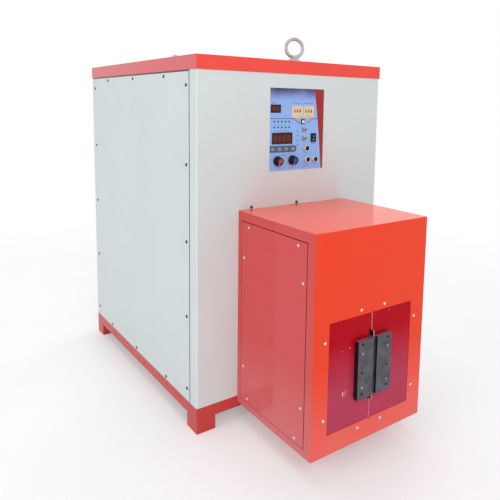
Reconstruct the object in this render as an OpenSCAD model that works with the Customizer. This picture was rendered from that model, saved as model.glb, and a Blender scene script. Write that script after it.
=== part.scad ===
// Induction heating machine: a sheet-metal cabinet on a welded base, with a control
// panel, and a heat station box on its front that carries the two output plates.
// Millimetres, +Z up, front towards -Y, origin at the middle of the footprint.

/* [Cabinet] */
// Width of the cabinet over its side panels
cab_w = 800; // [770:5:880]
// Depth of the cabinet from front face to rear face
cab_d = 1022; // [960:2:1160]
// Height from the floor to the top of the lid
cab_h = 1254; // [1220:2:1360]
// Thickness of the cabinet's sheet metal
sheet = 2; // [1.5:0.5:3]
// Outside radius of the front panel's folded corners
bend_r = 5; // [4:0.5:8]
// How far the front panel returns round each corner
return_d = 47; // [40:1:60]
// Open seam between the front panel's return and the side panel
seam_gap = 4; // [2:0.5:8]
// Open gap between the lid's skirt and the top of the side panels
top_gap = 5; // [2:0.5:10]
// How far the front panel reaches up behind the lid's skirt
tuck = 20; // [10:1:30]
// Height of the lid's skirt
lid_h = 46; // [36:1:60]
// Width and height of the cable opening behind the box
pass_w = 140; // [80:5:145]

/* [Base frame] */
// Width of each square foot
foot_w = 72; // [62:1:90]
// Height of the feet
foot_h = 49.5; // [40:0.5:80]
// Width of the base rails
rail_w = 60; // [50:1:80]
// Height of the base rails
rail_h = 42; // [30:1:60]
// Wall of the base rails
base_wall = 3; // [2:0.5:5]

/* [Cabinet frame] */
// Width of the corner posts across the cabinet
post_w = 40; // [30:1:60]
// Depth of the corner posts
post_d = 60; // [50:1:80]
// Height of the upper side rails
top_rail_h = 80; // [60:1:100]
// Height of the lower rails and of the upper cross rails
low_rail_h = 40; // [30:1:60]
// Depth of the upper cross rails that carry the eyebolts
cross_rail_d = 80; // [70:1:100]
// Wall of the frame's tubes
tube_wall = 2.5; // [2:0.5:4]
// Thickness of the floor plate
floor_t = 3; // [2:0.5:6]

/* [Panel screws] */
// Radius of a panel screw's head
head_r = 5.5; // [4:0.5:7]
// Height of a panel screw's head
head_h = 3; // [2:0.5:4]
// Radius of a panel screw's shank
shank_r = 2.5; // [2:0.25:3]
// Length of a panel screw's shank
shank_l = 10; // [8:1:16]
// Distance of the front screw column from the cabinet's face
side_screw_y = 70; // [62:1:90]
// Distance of the rear screw column from the cabinet's back
side_screw_back = 38; // [20:1:50]
// Distance of the columns' end screws from the panel's ends
column_end = 43; // [30:0.5:60]
// Screws in each column of a side panel
column_count = 5; // [4:1:8]
// Distance of the top and bottom rows from the panel's ends
row_end = 11.5; // [8:0.5:14]
// Distance between neighbouring screws of the top and bottom rows
row_pitch = 286; // [200:2:300]
// Distance of the rear panel's screws from its edges
rear_screw_in = 18; // [12:1:24]

/* [Lifting eyebolts] */
// Radius of the ring's centre line
eye_r = 31; // [27:0.5:36]
// Thickness of the ring's bar
eye_bar = 12; // [8:0.5:14]
// Height of the ring's centre above the lid
eye_h = 46; // [44:1:60]
// Radius of the collar that sits on the lid
collar_r = 20; // [16:0.5:26]
// Height of the collar
collar_h = 8; // [5:0.5:12]
// Radius of the threaded shank
eye_shank_r = 8; // [6:0.5:10]
// Length of the shank below the lid's top
eye_shank_l = 30; // [20:1:38]
// Distance of each eyebolt from the front or back face
eye_in = 28; // [20:1:40]
// Turn of the front ring about its shank
eye_turn_front = -18; // [-30:1:30]
// Turn of the rear ring about its shank
eye_turn_rear = 102; // [60:1:120]

/* [Heat station box] */
// Width of the box
box_w = 471; // [455:1:540]
// Depth of the box from the cabinet's front
box_d = 402; // [398:1:460]
// Height of the box
box_h = 679; // [670:1:740]
// Height of the box's underside above the floor
box_z = 70; // [60:1:80]
// Sideways offset of the box from the cabinet's middle
box_x = -7; // [-20:1:20]
// Thickness of the box's sheet metal
box_wall = 2; // [1.5:0.5:3]
// Width of the flange that sits on the cabinet
box_flange = 20; // [14:1:22]
// Distance of the side covers from the box's front
cover_front = 35; // [26:1:50]
// Distance of the side covers from the box's top
cover_top = 32; // [26:1:60]
// Distance of the side covers from the cabinet's face
cover_back = 23; // [20:1:28]
// Distance of the side covers from the box's underside
cover_low = 25; // [22:1:34]
// Seam round each side cover
cover_gap = 1.5; // [1:0.25:3]
// How far the ledge reaches in behind each side cover
cover_ledge = 25; // [22:1:34]
// Distance of a cover's screws from its edge
cover_screw_in = 15; // [12:0.5:18]
// Distance of the screws in a cover's rows from its sides
cover_row_in = 41; // [30:1:60]
// Distance of the screws in a cover's columns from its top and bottom
cover_column_in = 121; // [90:1:150]
// Width of the window in the box's front
window_w = 350; // [330:1:360]
// Height of the window in the box's front
window_h = 346; // [320:1:360]
// Distance of the window from the box's underside
window_low = 62; // [50:1:80]
// Distance of the window's screws from its edge
window_screw_out = 16; // [13:0.5:20]
// Half the distance between neighbouring screws above and below the window
window_row = 49.5; // [40:0.5:80]
// Half the distance between neighbouring screws beside the window
window_column = 119; // [100:1:140]
// Air between the box's top and the heads of its bracket screws
bracket_air = 0.5; // [0.25:0.25:10]
// Distance of the bracket screws from each other
bracket_pitch = 194; // [150:1:220]
// Place of the right bracket screw from the cabinet's middle
bracket_x = 2; // [-10:1:20]
// Radius of a bright screw's head
bright_r = 5; // [4:0.5:6]
// Height of a bright screw's head
bright_h = 3.5; // [2.5:0.5:5]

/* [Insulating panels] */
// Thickness of the insulating panels
insul_t = 10; // [6:1:14]
// How far the insulating panels reach past the window
insul_lap = 25; // [22:1:34]
// Split between the two insulating panels
insul_split = 1.5; // [0.5:0.25:3]
// Radius of the relief holes at the ends of the split
relief_r = 2.5; // [1.5:0.25:4]
// Distance of the relief holes outside the window
relief_out = 5; // [3:0.5:10]
// Thickness of the insulating sheet between the output bars
film_t = 3; // [2:0.5:5]
// How far the insulating sheet reaches past the plates, up and down
film_over = 19; // [8:1:30]
// How far the insulating sheet stands out of the box's face
film_out = 8; // [4:1:10]

/* [Output plates] */
// Width of each output plate
out_w = 63; // [50:1:80]
// Height of each output plate
out_h = 185; // [175:1:230]
// Thickness of each output plate
out_t = 15; // [11:1:17]
// Gap between the two output plates
out_gap = 16.5; // [14:0.5:24]
// Distance of the plates' faces ahead of the box's face
out_front = 17; // [16:1:30]
// Height of the plates above the window's lower edge
out_low = 85; // [60:1:110]
// Thickness of the single-turn secondary behind the plates
sec_t = 6; // [4:0.5:7]
// How far the bars stop behind the plates' faces
bar_back = 8; // [4:1:9]
// Radius of the tapped holes for the work coil
tap_r = 4.25; // [3.4:0.05:5.1]
// Distance of the tapped holes from the plate's outer edge
tap_in = 18; // [14:0.5:24]
// Distance of the upper tapped hole from the plate's top
tap_top = 11; // [9:0.5:16]
// Distance of the middle tapped hole from the plate's top
tap_mid = 101; // [80:1:110]
// Distance of the lower tapped hole from the plate's bottom
tap_low = 17.5; // [10:0.5:24]
// Distance of the upper plate screw from the plate's top
pin_top = 39; // [30:0.5:50]
// Distance of the lower plate screw from the plate's bottom
pin_low = 37; // [30:0.5:50]
// Radius of a plate screw's head
pin_r = 4; // [3:0.5:5]
// Height of a plate screw's head
pin_h = 2; // [1:0.5:3]

/* [Output transformer] */
// Distance of the transformer's axis behind the box's front
tx_in = 187; // [180:1:195]
// Inside radius of the single-turn secondary
sec_r = 58; // [56:0.5:64]
// Inside radius of the primary coil
coil_in = 37; // [37:0.5:40]
// Outside radius of the primary coil
coil_out = 54; // [48:0.5:55]
// Width of the core's middle leg
leg_w = 50; // [40:1:51]
// Width of the core's outer legs
side_leg_w = 35; // [25:1:45]
// Overall width of the core
core_w = 240; // [225:1:280]
// Height of each yoke
yoke_h = 40; // [30:1:50]
// Air between the coil's ends and the yokes
coil_air = 14; // [8:1:20]
// Width of the stands under the core
stand_w = 30; // [20:1:35]
// Thickness of the capacitor shelf
shelf_t = 10; // [6:1:14]
// Width of the capacitor shelf
shelf_w = 320; // [300:5:380]
// Depth of the capacitor shelf
shelf_d = 195; // [170:5:198]
// Width of a tank capacitor
tank_w = 70; // [60:1:78]
// Depth of a tank capacitor
tank_d = 160; // [140:1:170]
// Height of a tank capacitor
tank_h = 120; // [90:1:150]

/* [Control panel] */
// Width of the control panel's opening
ctl_w = 240; // [236:1:260]
// Height of the control panel's opening
ctl_h = 287; // [282:1:310]
// Height of the opening's lower edge above the floor
ctl_z = 872; // [840:1:900]
// Thickness of the control panel
ctl_t = 2.5; // [2:0.5:4]
// How far the control panel reaches behind the sheet
ctl_lap = 12; // [8:1:20]

/* [Displays, lamps and keys] */
// Width of the small display
disp_w = 40; // [36:1:44]
// Height of the small display
disp_h = 25; // [20:1:28]
// Width of the large display
big_disp_w = 85; // [78:1:90]
// Height of the large display
big_disp_h = 37; // [30:1:40]
// How far the displays stand out of the panel
disp_out = 1.5; // [1:0.25:2]
// Depth of the displays behind the panel's face
disp_d = 16; // [10:1:24]
// Radius of an indicator lamp
lamp_r = 2.5; // [1.5:0.25:3]
// Distance between neighbouring lamps
lamp_pitch = 16; // [12:0.5:17]
// Distance between the two rows of lamps
lamp_row = 19.5; // [14:0.5:24]
// Lamps in each row
lamp_count = 5; // [3:1:5]
// Length of the key strip
strip_w = 116; // [112:1:122]
// Height of the key strip
strip_h = 23; // [19:1:26]
// Thickness of the key strip
strip_t = 1; // [0.5:0.25:1.5]
// Radius of a key's raised end
key_r = 6; // [4:0.5:7]
// Distance between neighbouring keys
key_pitch = 29.5; // [26:0.5:31]
// How far the keys stand out of the strip
key_out = 0.5; // [0.25:0.25:1]

/* [Knobs and switches] */
// Radius of a knob
knob_r = 17; // [14:0.5:18]
// Height of a knob
knob_h = 21; // [14:0.5:26]
// Air between a knob and the panel
knob_air = 0.6; // [0.4:0.1:0.9]
// Radius of a knob's shaft
shaft_r = 3; // [2:0.25:3.5]
// Radius of a potentiometer's threaded bush
pot_bush_r = 4.75; // [4.5:0.25:5.5]
// Radius of a potentiometer's body
pot_r = 12; // [9:0.5:14]
// Depth of a potentiometer's body
pot_d = 12; // [8:0.5:16]
// Radius of a toggle switch's threaded bush
toggle_bush_r = 6; // [5.5:0.25:6.5]
// Length of a toggle's lever from its pivot
lever_l = 19; // [15:0.5:24]
// Radius of the ball that a toggle's lever turns on
ball_r = 4; // [3.5:0.25:4.5]
// Tilt of a toggle's lever each way
toggle_tilt = 12; // [6:1:13]
// Width of the power rocker's frame
rock_w = 25; // [21:1:27]
// Height of the power rocker's frame
rock_h = 32; // [28:1:36]
// Rim of the power rocker's frame
rock_rim = 3.5; // [2.5:0.25:4]
// How far the rocker's frame stands out of the panel
rock_out = 2; // [1:0.25:3]
// Tilt of the rocker each way
rock_tilt = 8; // [4:1:10]
// Radius of a push button's chrome bezel
bezel_r = 14; // [12.5:0.5:16]
// Radius of a push button's barrel
barrel_r = 11; // [10:0.25:12]
// Radius of a push button's cap
cap_r = 8.5; // [6.5:0.25:9]
// How far a bezel stands out of the panel
bezel_out = 10; // [6:0.5:13]
// Travel of a push button
travel = 3; // [1:0.5:4]
// Width of the reset button's frame
reset_w = 17; // [15:0.5:19]
// Width of the reset button's cap
reset_cap = 10; // [8:0.5:11]
// Travel of the reset button
reset_travel = 1.5; // [1:0.25:2]

/* [Setting switches] */
// Width of one setting switch
set_w = 48; // [46:0.5:49]
// Height of one setting switch
set_h = 43; // [40:0.5:45]
// Distance between neighbouring digits
digit_pitch = 12.5; // [11.5:0.25:13]
// Radius of a ten-sided number wheel
wheel_r = 12.5; // [11:0.25:12.75]
// Width of a number wheel
wheel_w = 8; // [6:0.25:9]
// Height of the window over each number
digit_window = 9; // [7:0.5:10]
// Width of a stepping key
step_key_w = 8.5; // [7:0.25:9]
// Height of a stepping key
step_key_h = 5; // [3.5:0.25:5.5]
// Distance of the stepping keys from the switch's middle
step_key_z = 13.5; // [12.5:0.25:14.5]

/* [Rear fittings] */
// Radius of the fan's blade circle
fan_r = 88; // [70:1:100]
// Width of the fan's square frame
fan_w = 200; // [190:1:240]
// Depth of the fan's frame
fan_d = 50; // [40:1:60]
// Height of the fan's axis above the floor
fan_z = 1010; // [950:1:1040]
// Blades on the fan
blade_count = 7; // [5:1:9]
// Width of the flat rings of the fan guard
guard_bar = 3; // [2:0.5:4]
// Rings in the fan guard
guard_count = 6; // [4:1:7]
// Width of a ventilation slot
slot_w = 120; // [80:1:140]
// Height of a ventilation slot
slot_h = 8; // [5:1:11]
// Distance between neighbouring slots
slot_pitch = 24; // [20:1:28]
// Slots in each column
slot_count = 10; // [6:1:12]
// Radius of the cable gland's opening
gland_r = 12; // [8:0.5:15]
// Length of the gland outside the cabinet
gland_l = 42; // [30:1:54]
// Radius of a water spigot
spigot_r = 9.5; // [7:0.5:12]
// Length of a water spigot outside its nut
spigot_l = 40; // [28:1:60]
// Thickness of a spigot's nut
nut_t = 14; // [8:1:18]
// Height of the gland and the spigots above the floor
port_z = 185; // [180:1:220]
// Distance of the gland and the inlet from the cabinet's middle
port_x = 250; // [240:1:290]
// Distance between the two water spigots
spigot_pitch = 80; // [60:1:100]

/* [Power equipment] */
// Distance of the mounting plate behind the cabinet's face
mount_y = 500; // [450:5:560]
// Width of the mounting plate
mount_w = 680; // [640:5:700]
// Height of the mounting plate
mount_h = 900; // [860:5:960]
// Depth of the mounting plate's foot
mount_foot = 50; // [30:1:80]
// Width of the cold plate
cold_w = 340; // [330:2:360]
// Height of the cold plate
cold_h = 260; // [250:2:300]
// Thickness of the cold plate
cold_t = 30; // [20:1:40]
// Height of the cold plate above the floor plate
cold_up = 190; // [185:1:240]
// Width of a power module
module_w = 62; // [50:1:72]
// Height of a power module
module_h = 106; // [80:1:110]
// Thickness of a power module
module_t = 30; // [20:1:40]
// Radius of a smoothing capacitor
can_r = 38; // [30:1:42]
// Height of a smoothing capacitor
can_h = 146; // [100:1:200]
// Distance between neighbouring smoothing capacitors
can_pitch = 92; // [88:1:110]
// Width of the filter choke
choke_w = 220; // [200:2:240]
// Depth of the filter choke's core
choke_d = 80; // [60:1:100]
// Height of the filter choke
choke_h = 190; // [170:1:240]
// Width of the choke's legs and yokes
choke_leg = 36; // [28:1:40]
// Width of the contactor
contactor_w = 130; // [100:1:160]
// Height of the contactor
contactor_h = 150; // [120:1:180]
// Depth of the contactor
contactor_d = 110; // [80:1:130]
// Outside radius of the water hoses
hose_r = 9; // [8.5:0.25:11]
// Radius of the hose nipples
nipple_r = 6; // [4:0.25:6.5]
// Bend radius of the water hoses
hose_bend = 45; // [36:1:60]
// Distance of the outer setting of the box hoses from the box's middle
box_hose_x = 20; // [16:1:30]

/* [Hidden] */

// Overrun of every cut
cut = 1;
// Clearance round a fixed piece in its hole
fit = 0.2;
// Radial clearance of a running shaft
run = 0.05;
// Gap between separate solids that stand on each other in one node
seat = 0.3;

// Levels and faces of the cabinet
half_w = cab_w / 2;
base_top = foot_h + rail_h;
lid_z = cab_h - lid_h;
roof_z = cab_h - sheet;
floor_top = base_top + low_rail_h + floor_t;
inner_x = half_w - sheet;
inner_back = cab_d - sheet;
front_post_back = return_d + post_d;
rear_post_front = inner_back - post_d;
lip_w = post_w * 0.6;

// Reach of the box and of the rear fittings, which centres the part on its origin
rear_reach = max(spigot_l + nut_t, gland_l);
front_y = (box_d + out_front + pin_h - cab_d - rear_reach) / 2;

// Screw places: side panels as [y, z], rear panel as [x, z]
panel_top = lid_z - top_gap;
column_step = (panel_top - base_top - 2 * column_end) / (column_count - 1);
column_zs = [for (i = [0 : column_count - 1]) base_top + column_end + i * column_step];
row_mid = (side_screw_y + cab_d - side_screw_back) / 2;
side_places = concat(
    [for (z = column_zs) [side_screw_y, z]],
    [for (z = column_zs) [cab_d - side_screw_back, z]],
    [for (i = [-1 : 1], z = [base_top + row_end, panel_top - row_end])
        [row_mid + i * row_pitch, z]]);
rear_places = concat(
    [for (side = [-1, 1], z = column_zs) [side * (half_w - rear_screw_in), z]],
    [for (side = [-1, 1]) [side * port_x / 2, base_top + row_end]]);
bracket_z = box_z + box_h + bracket_air + head_r;

// Box levels, relative to the floor, and its window
box_top = box_z + box_h;
half_box = box_w / 2;
window_z = box_z + window_low;
window_mid = window_z + window_h / 2;
cover_z = box_z + cover_low;
cover_w = box_d - cover_back - cover_front;
cover_h = box_h - cover_low - cover_top;
cover_mid_z = cover_z + cover_h / 2;
cover_mid_y = -cover_back - cover_w / 2;
bright_shank_r = 2;
bright_shank_l = 8;
cover_places = concat(
    [for (y = [-1, 1], z = [-1, 1])
        [cover_mid_y + y * (cover_w / 2 - cover_row_in),
            cover_mid_z + z * (cover_h / 2 - cover_screw_in)]],
    [for (y = [-1, 1], z = [-1, 1])
        [cover_mid_y + y * (cover_w / 2 - cover_screw_in),
            cover_mid_z + z * (cover_h / 2 - cover_column_in)]]);
window_places = concat(
    [for (x = [-1, 1], z = [-1, 1])
        [x * window_row, window_mid + z * (window_h / 2 + window_screw_out)]],
    [for (x = [-1, 1], z = [-1, 1])
        [x * (window_w / 2 + window_screw_out), window_mid + z * window_column]]);

// Output plates and the transformer behind them
out_face = -box_d - out_front;
out_z = window_z + out_low;
out_top = out_z + out_h;
tap_x = out_gap / 2 + out_w - tap_in;
tx_y = box_d - tx_in;
bar_in = film_t / 2 + fit;
bar_root = 0.5;
sec_out = sec_r + sec_t;
slot_half = out_gap / 2 + bar_root + fit;
pin_shank_r = 2.5;
pin_boss_r = 7;
pin_shank_l = out_front + box_wall + insul_t * 0.7;
pin_zs = [out_z + pin_low, out_top - pin_top];
coil_z = out_z - coil_air;
coil_top = out_top + coil_air;
yoke_top = coil_top + yoke_h;
shelf_back = -tx_y + leg_w / 2;
coil_mid_r = (coil_in + coil_out) / 2;
coil_port_y = -tx_y + sqrt(coil_mid_r * coil_mid_r - box_hose_x * box_hose_x);

// Places on the control panel as shares of its opening, from its lower left corner
small_display_shares = [0.104, 0.753];
large_display_shares = [0.227, 0.395];
lamp_shares = [0.083, 0.53];
strip_shares = [0.25, 0.265];
knob_shares = [[0.144, 0.122], [0.415, 0.125]];
toggle_shares = [[0.629, 0.495], [0.629, 0.387]];
rocker_shares = [0.81, 0.394];
button_shares = [[0.671, 0.265], [0.69, 0.124], [0.835, 0.122]];
reset_shares = [0.604, 0.596];
set_shares = [[0.494, 0.716], [0.706, 0.716]];

// Depths and small sizes of the controls
disp_rim = 1.5;
lamp_flange = 0.6;
lamp_seat_t = 1;
knob_skirt_share = 0.2;
knob_body_share = 0.84;
knob_cap_share = 0.45;
pointer_w = 2.5;
pointer_t = 1;
knob_start = -150;
toggle_bush_l = 8;
toggle_pivot = 3;
toggle_nut_r = 9;
toggle_nut_t = 2.5;
toggle_body_w = 15;
toggle_body_h = 27;
toggle_body_d = 22;
lever_r = 1.6;
lever_tip_r = 2.6;
lever_tail = 5;
rock_d = 18;
rock_pivot = -2;
rock_face = 3;
rock_air = 0.3;
rock_pin_r = 1.5;
rock_pin_l = 1.2;
barrel_d = 14;
barrel_floor = 3;
cap_out = 1.5;
cap_d = 4;
reset_rim = 1.5;
reset_out = 2;
reset_d = 12;
reset_cap_out = 2.5;
reset_cap_d = 4;
set_rim = 2;
set_body_in = 2;
set_d = 29;
wheel_up = 2.5;
wheel_back = 2.5;
wheel_air = 0.5;
wheel_shaft_r = 2;
wheel_axis = set_rim - wheel_back - wheel_r * cos(180 / 10);
step_key_out = 2;
step_key_d = 1;
board_back = 42;
board_t = 1.6;
board_post_r = 3;
board_share = 0.92;

// Power equipment
mount_t = 2 * sheet;
mount_back = mount_y + mount_t;
cold_x = box_x + box_hose_x + cold_t;
cold_z = floor_top + cold_up;
cold_top = cold_z + cold_h;
cold_mid = mount_y - cold_t / 2;
nipple_l = 20;
hose_bore = nipple_r + fit;
hose_hole = hose_r + cut;
module_edge = 12;
can_x = -100;
can_y = 220;
choke_x = 60;
choke_y = 700;
choke_coil = 28;
contactor_x = 150;
contactor_z = 620;
hose_run_z = cold_top + hose_bend + nipple_l;
fan_hub_share = 0.36;
fan_shaft_r = 4;
fan_strut = 8;
fan_air = 2;
blade_t = 2.5;
blade_pitch = 38;
guard_lug = 12;
slot_in = 30;
slots_z = 360;
stud_r = 5;
stud_l = 10;
inlet_xs = [-port_x, -port_x + spigot_pitch];
thread_wall = 2;
gland_thread_r = gland_r + 2 * thread_wall;
spigot_thread_r = spigot_r + thread_wall;
water_r = nipple_r * 0.7;
hose_end = inner_back - nut_t;

// A box given by its lowest and highest corners along each axis
module block(x0, x1, y0, y1, z0, z1) {
    translate([x0, y0, z0])
        cube([x1 - x0, y1 - y0, z1 - z0]);
}

// A cylinder along Y from y0 to y1
module rod_y(r, y0, y1) {
    translate([0, y1, 0])
        rotate([90, 0, 0])
            cylinder(r = r, h = y1 - y0);
}

// Places drawn from the cabinet's face and from the box's middle
module at_cabinet() {
    translate([0, front_y, 0])
        children();
}

module at_box() {
    translate([box_x, front_y, 0])
        children();
}

// A place on the control panel: x right, y up, z out of its face
module at_panel(shares) {
    at_cabinet()
        translate([(shares[0] - 0.5) * ctl_w, sheet, ctl_z + shares[1] * ctl_h])
            rotate([90, 0, 0])
                children();
}

module both_sides() {
    children();
    mirror([1, 0, 0])
        children();
}

// A domed screw along +Z with its head above z = 0
module dome_screw(r, h, sr, sl) {
    rotate_extrude($fn = 24)
        polygon([[0, -sl], [sr, -sl], [sr, 0], [r, 0], [r, h * 0.35],
            [r * 0.72, h * 0.85], [r * 0.3, h], [0, h]]);
}

// Puts its children at every panel screw, +Z pointing out of the panel
module at_panel_screws(sides = true, back = true, front = true) {
    if (sides)
        both_sides()
            for (p = side_places)
                translate([half_w, p[0], p[1]])
                    rotate([0, 90, 0])
                        children();
    if (back)
        for (p = rear_places)
            translate([p[0], cab_d, p[1]])
                rotate([-90, 0, 0])
                    children();
    if (front)
        for (x = [bracket_x - bracket_pitch, bracket_x])
            translate([x, 0, bracket_z])
                rotate([90, 0, 0])
                    children();
}

module at_cover_screws() {
    for (p = cover_places)
        translate([-half_box, p[0], p[1]])
            rotate([0, -90, 0])
                children();
}

module at_window_screws() {
    for (p = window_places)
        translate([p[0], -box_d, p[1]])
            rotate([90, 0, 0])
                children();
}

module panel_screw_hole() {
    translate([0, 0, -shank_l - cut])
        cylinder(r = shank_r + fit, h = shank_l + 2 * cut, $fn = 24);
}

module bright_screw_hole() {
    translate([0, 0, -bright_shank_l - cut])
        cylinder(r = bright_shank_r + fit, h = bright_shank_l + 2 * cut, $fn = 24);
}

// Base frame: closed box rails on four feet
module base_frame() {
    color("firebrick")
        at_cabinet() {
            for (back = [0, 1])
                translate([0, back * cab_d, 0])
                    mirror([0, back, 0])
                        end_rail();
            both_sides()
                difference() {
                    block(half_w - rail_w, half_w, rail_w, cab_d - rail_w, foot_h, base_top);
                    block(half_w - rail_w + base_wall, half_w - base_wall, rail_w - cut,
                        cab_d - rail_w + cut, foot_h + base_wall, base_top - base_wall);
                }
            both_sides()
                for (y = [0, cab_d - foot_w])
                    block(half_w - foot_w, half_w, y, y + foot_w, 0, foot_h);
        }
}

module end_rail() {
    difference() {
        block(-half_w, half_w, 0, rail_w, foot_h, base_top);
        block(-half_w + base_wall, half_w - base_wall, base_wall, rail_w - base_wall,
            foot_h + base_wall, base_top - base_wall);
    }
}

// Cabinet frame: four posts, side rails and cross rails of square tube
module cabinet_frame() {
    color("dimgray")
        at_cabinet()
            difference() {
                both_sides()
                    frame_side();
                at_panel_screws(front = false)
                    panel_screw_hole();
                eyebolt_holes();
            }
}

module frame_side() {
    post_in = inner_x - post_w;
    for (y = [return_d, rear_post_front])
        difference() {
            block(post_in, inner_x, y, y + post_d, base_top, roof_z);
            block(post_in + tube_wall, inner_x - tube_wall, y + tube_wall,
                y + post_d - tube_wall, base_top - cut, roof_z + cut);
        }
    for (z = [[base_top, low_rail_h], [roof_z - top_rail_h, top_rail_h]])
        difference() {
            block(post_in, inner_x, front_post_back, rear_post_front, z[0], z[0] + z[1]);
            block(post_in + tube_wall, inner_x - tube_wall, front_post_back - cut,
                rear_post_front + cut, z[0] + tube_wall, z[0] + z[1] - tube_wall);
        }
    for (r = [[return_d, front_post_back, base_top], [rear_post_front, inner_back, base_top],
            [front_post_back - cross_rail_d, front_post_back, roof_z - low_rail_h],
            [inner_back - cross_rail_d, inner_back, roof_z - low_rail_h]])
        difference() {
            block(0, post_in, r[0], r[1], r[2], r[2] + low_rail_h);
            block(-cut, post_in + cut, r[0] + tube_wall, r[1] - tube_wall,
                r[2] + tube_wall, r[2] + low_rail_h - tube_wall);
        }
}

module floor_plate() {
    color("silver")
        at_cabinet()
            block(-inner_x + fit, inner_x - fit, front_post_back + fit,
                rear_post_front - fit, floor_top - floor_t, floor_top);
}

// Folded U of the front panel, seen from above
module front_profile(w, y, r) {
    translate([r - w, y])
        square([2 * (w - r), return_d + cut]);
    translate([-w, y + r])
        square([2 * w, return_d + cut - r]);
    for (x = [r - w, w - r])
        translate([x, y + r])
            circle(r = r, $fn = 48);
}

module front_panel() {
    panel_h = lid_z + tuck - base_top;
    color("gainsboro")
        at_cabinet()
            difference() {
                union() {
                    translate([0, 0, base_top])
                        linear_extrude(height = panel_h)
                            difference() {
                                intersection() {
                                    front_profile(half_w, 0, bend_r);
                                    translate([-half_w, 0])
                                        square([cab_w, return_d]);
                                }
                                front_profile(half_w - sheet, sheet, bend_r - sheet);
                            }
                    both_sides()
                        block(half_w - lip_w, half_w - sheet / 2, return_d - sheet,
                            return_d, base_top, base_top + panel_h);
                }
                block(-ctl_w / 2, ctl_w / 2, -cut, sheet + cut, ctl_z, ctl_z + ctl_h);
                translate([box_x, 0, 0])
                    block(-pass_w / 2, pass_w / 2, -cut, sheet + cut,
                        window_z, window_z + pass_w);
                for (x = [-1, 1])
                    translate([box_x + x * box_hose_x, 0, hose_run_z])
                        rod_y(hose_hole, -cut, sheet + cut);
                at_panel_screws(sides = false, back = false)
                    panel_screw_hole();
            }
}

module side_panel() {
    difference() {
        block(inner_x, half_w, return_d + seam_gap, cab_d, base_top, panel_top);
        at_panel_screws(back = false, front = false)
            panel_screw_hole();
    }
}

module right_side_panel() {
    color("gainsboro")
        at_cabinet()
            side_panel();
}

module left_side_panel() {
    color("gainsboro")
        at_cabinet()
            mirror([1, 0, 0])
                side_panel();
}

module rear_panel() {
    color("gainsboro")
        at_cabinet()
            difference() {
                block(-inner_x + fit, inner_x - fit, inner_back, cab_d,
                    base_top, lid_z + tuck);
                translate([0, 0, fan_z])
                    rod_y(fan_r + fan_air, inner_back - cut, cab_d + cut);
                both_sides()
                    for (i = [0 : slot_count - 1])
                        translate([slot_in, 0, slots_z + i * slot_pitch])
                            block(0, slot_w, inner_back - cut, cab_d + cut, 0, slot_h);
                translate([port_x, 0, port_z])
                    rod_y(gland_thread_r + fit, inner_back - cut, cab_d + cut);
                for (x = inlet_xs)
                    translate([x, 0, port_z])
                        rod_y(spigot_thread_r + fit, inner_back - cut, cab_d + cut);
                at_panel_screws(sides = false, front = false)
                    panel_screw_hole();
            }
}

// Folded lid with its skirt
module top_lid() {
    color("orangered")
        at_cabinet()
            difference() {
                block(-half_w - sheet, half_w + sheet, -sheet, cab_d + sheet, lid_z, cab_h);
                block(-half_w, half_w, 0, cab_d, lid_z - cut, roof_z);
                eyebolt_holes();
            }
}

module panel_screws() {
    color("dimgray")
        at_cabinet()
            at_panel_screws()
                dome_screw(head_r, head_h, shank_r, shank_l);
}

module at_eyebolts() {
    for (e = [[eye_in, eye_turn_front], [cab_d - eye_in, eye_turn_rear]])
        translate([0, e[0], cab_h])
            rotate([0, 0, e[1]])
                children();
}

module eyebolt_holes() {
    at_eyebolts()
        translate([0, 0, -eye_shank_l - cut])
            cylinder(r = eye_shank_r + fit, h = eye_shank_l + 2 * cut);
}

// Eyebolts: a ring on a neck and a collar, with a threaded shank
module lifting_eyebolts() {
    color("silver")
        at_cabinet()
            at_eyebolts() {
                translate([0, 0, eye_h])
                    rotate([90, 0, 0])
                        rotate_extrude($fn = 64)
                            translate([eye_r, 0])
                                circle(d = eye_bar, $fn = 32);
                cylinder(r = collar_r, h = collar_h);
                cylinder(r1 = collar_r * 0.8, r2 = eye_bar * 0.75, h = eye_h - eye_r);
                translate([0, 0, -eye_shank_l])
                    cylinder(r = eye_shank_r, h = eye_shank_l + cut);
            }
}

// Control panel, cut out for everything that passes through it
module control_panel() {
    color("lightsteelblue")
        difference() {
            at_cabinet()
                block(-ctl_w / 2 - ctl_lap, ctl_w / 2 + ctl_lap, sheet, sheet + ctl_t,
                    ctl_z - ctl_lap, ctl_z + ctl_h + ctl_lap);
            at_panel(small_display_shares)
                panel_cut(disp_w, disp_h);
            at_panel(large_display_shares)
                panel_cut(big_disp_w, big_disp_h);
            at_lamps()
                panel_hole(lamp_r);
            for (p = knob_shares)
                at_panel(p)
                    panel_hole(pot_bush_r);
            for (p = toggle_shares)
                at_panel(p)
                    panel_hole(toggle_bush_r);
            at_panel(rocker_shares)
                panel_cut(rock_w - rock_rim, rock_h - rock_rim);
            for (p = button_shares)
                at_panel(p)
                    panel_hole(barrel_r);
            at_panel(reset_shares)
                panel_cut(reset_w - 2 * reset_rim, reset_w - 2 * reset_rim);
            for (p = set_shares)
                at_panel(p)
                    panel_cut(set_w - 2 * set_body_in, set_h - 2 * set_body_in);
        }
}

module panel_cut(w, h) {
    translate([-w / 2 - fit, -h / 2 - fit, -ctl_t - cut])
        cube([w + 2 * fit, h + 2 * fit, ctl_t + 2 * cut]);
}

module panel_hole(r) {
    translate([0, 0, -ctl_t - cut])
        cylinder(r = r + fit, h = ctl_t + 2 * cut);
}

// A plate centred on the place, from z0 to z1 out of the panel
module slab(w, h, z0, z1) {
    translate([-w / 2, -h / 2, z0])
        cube([w, h, z1 - z0]);
}

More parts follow.
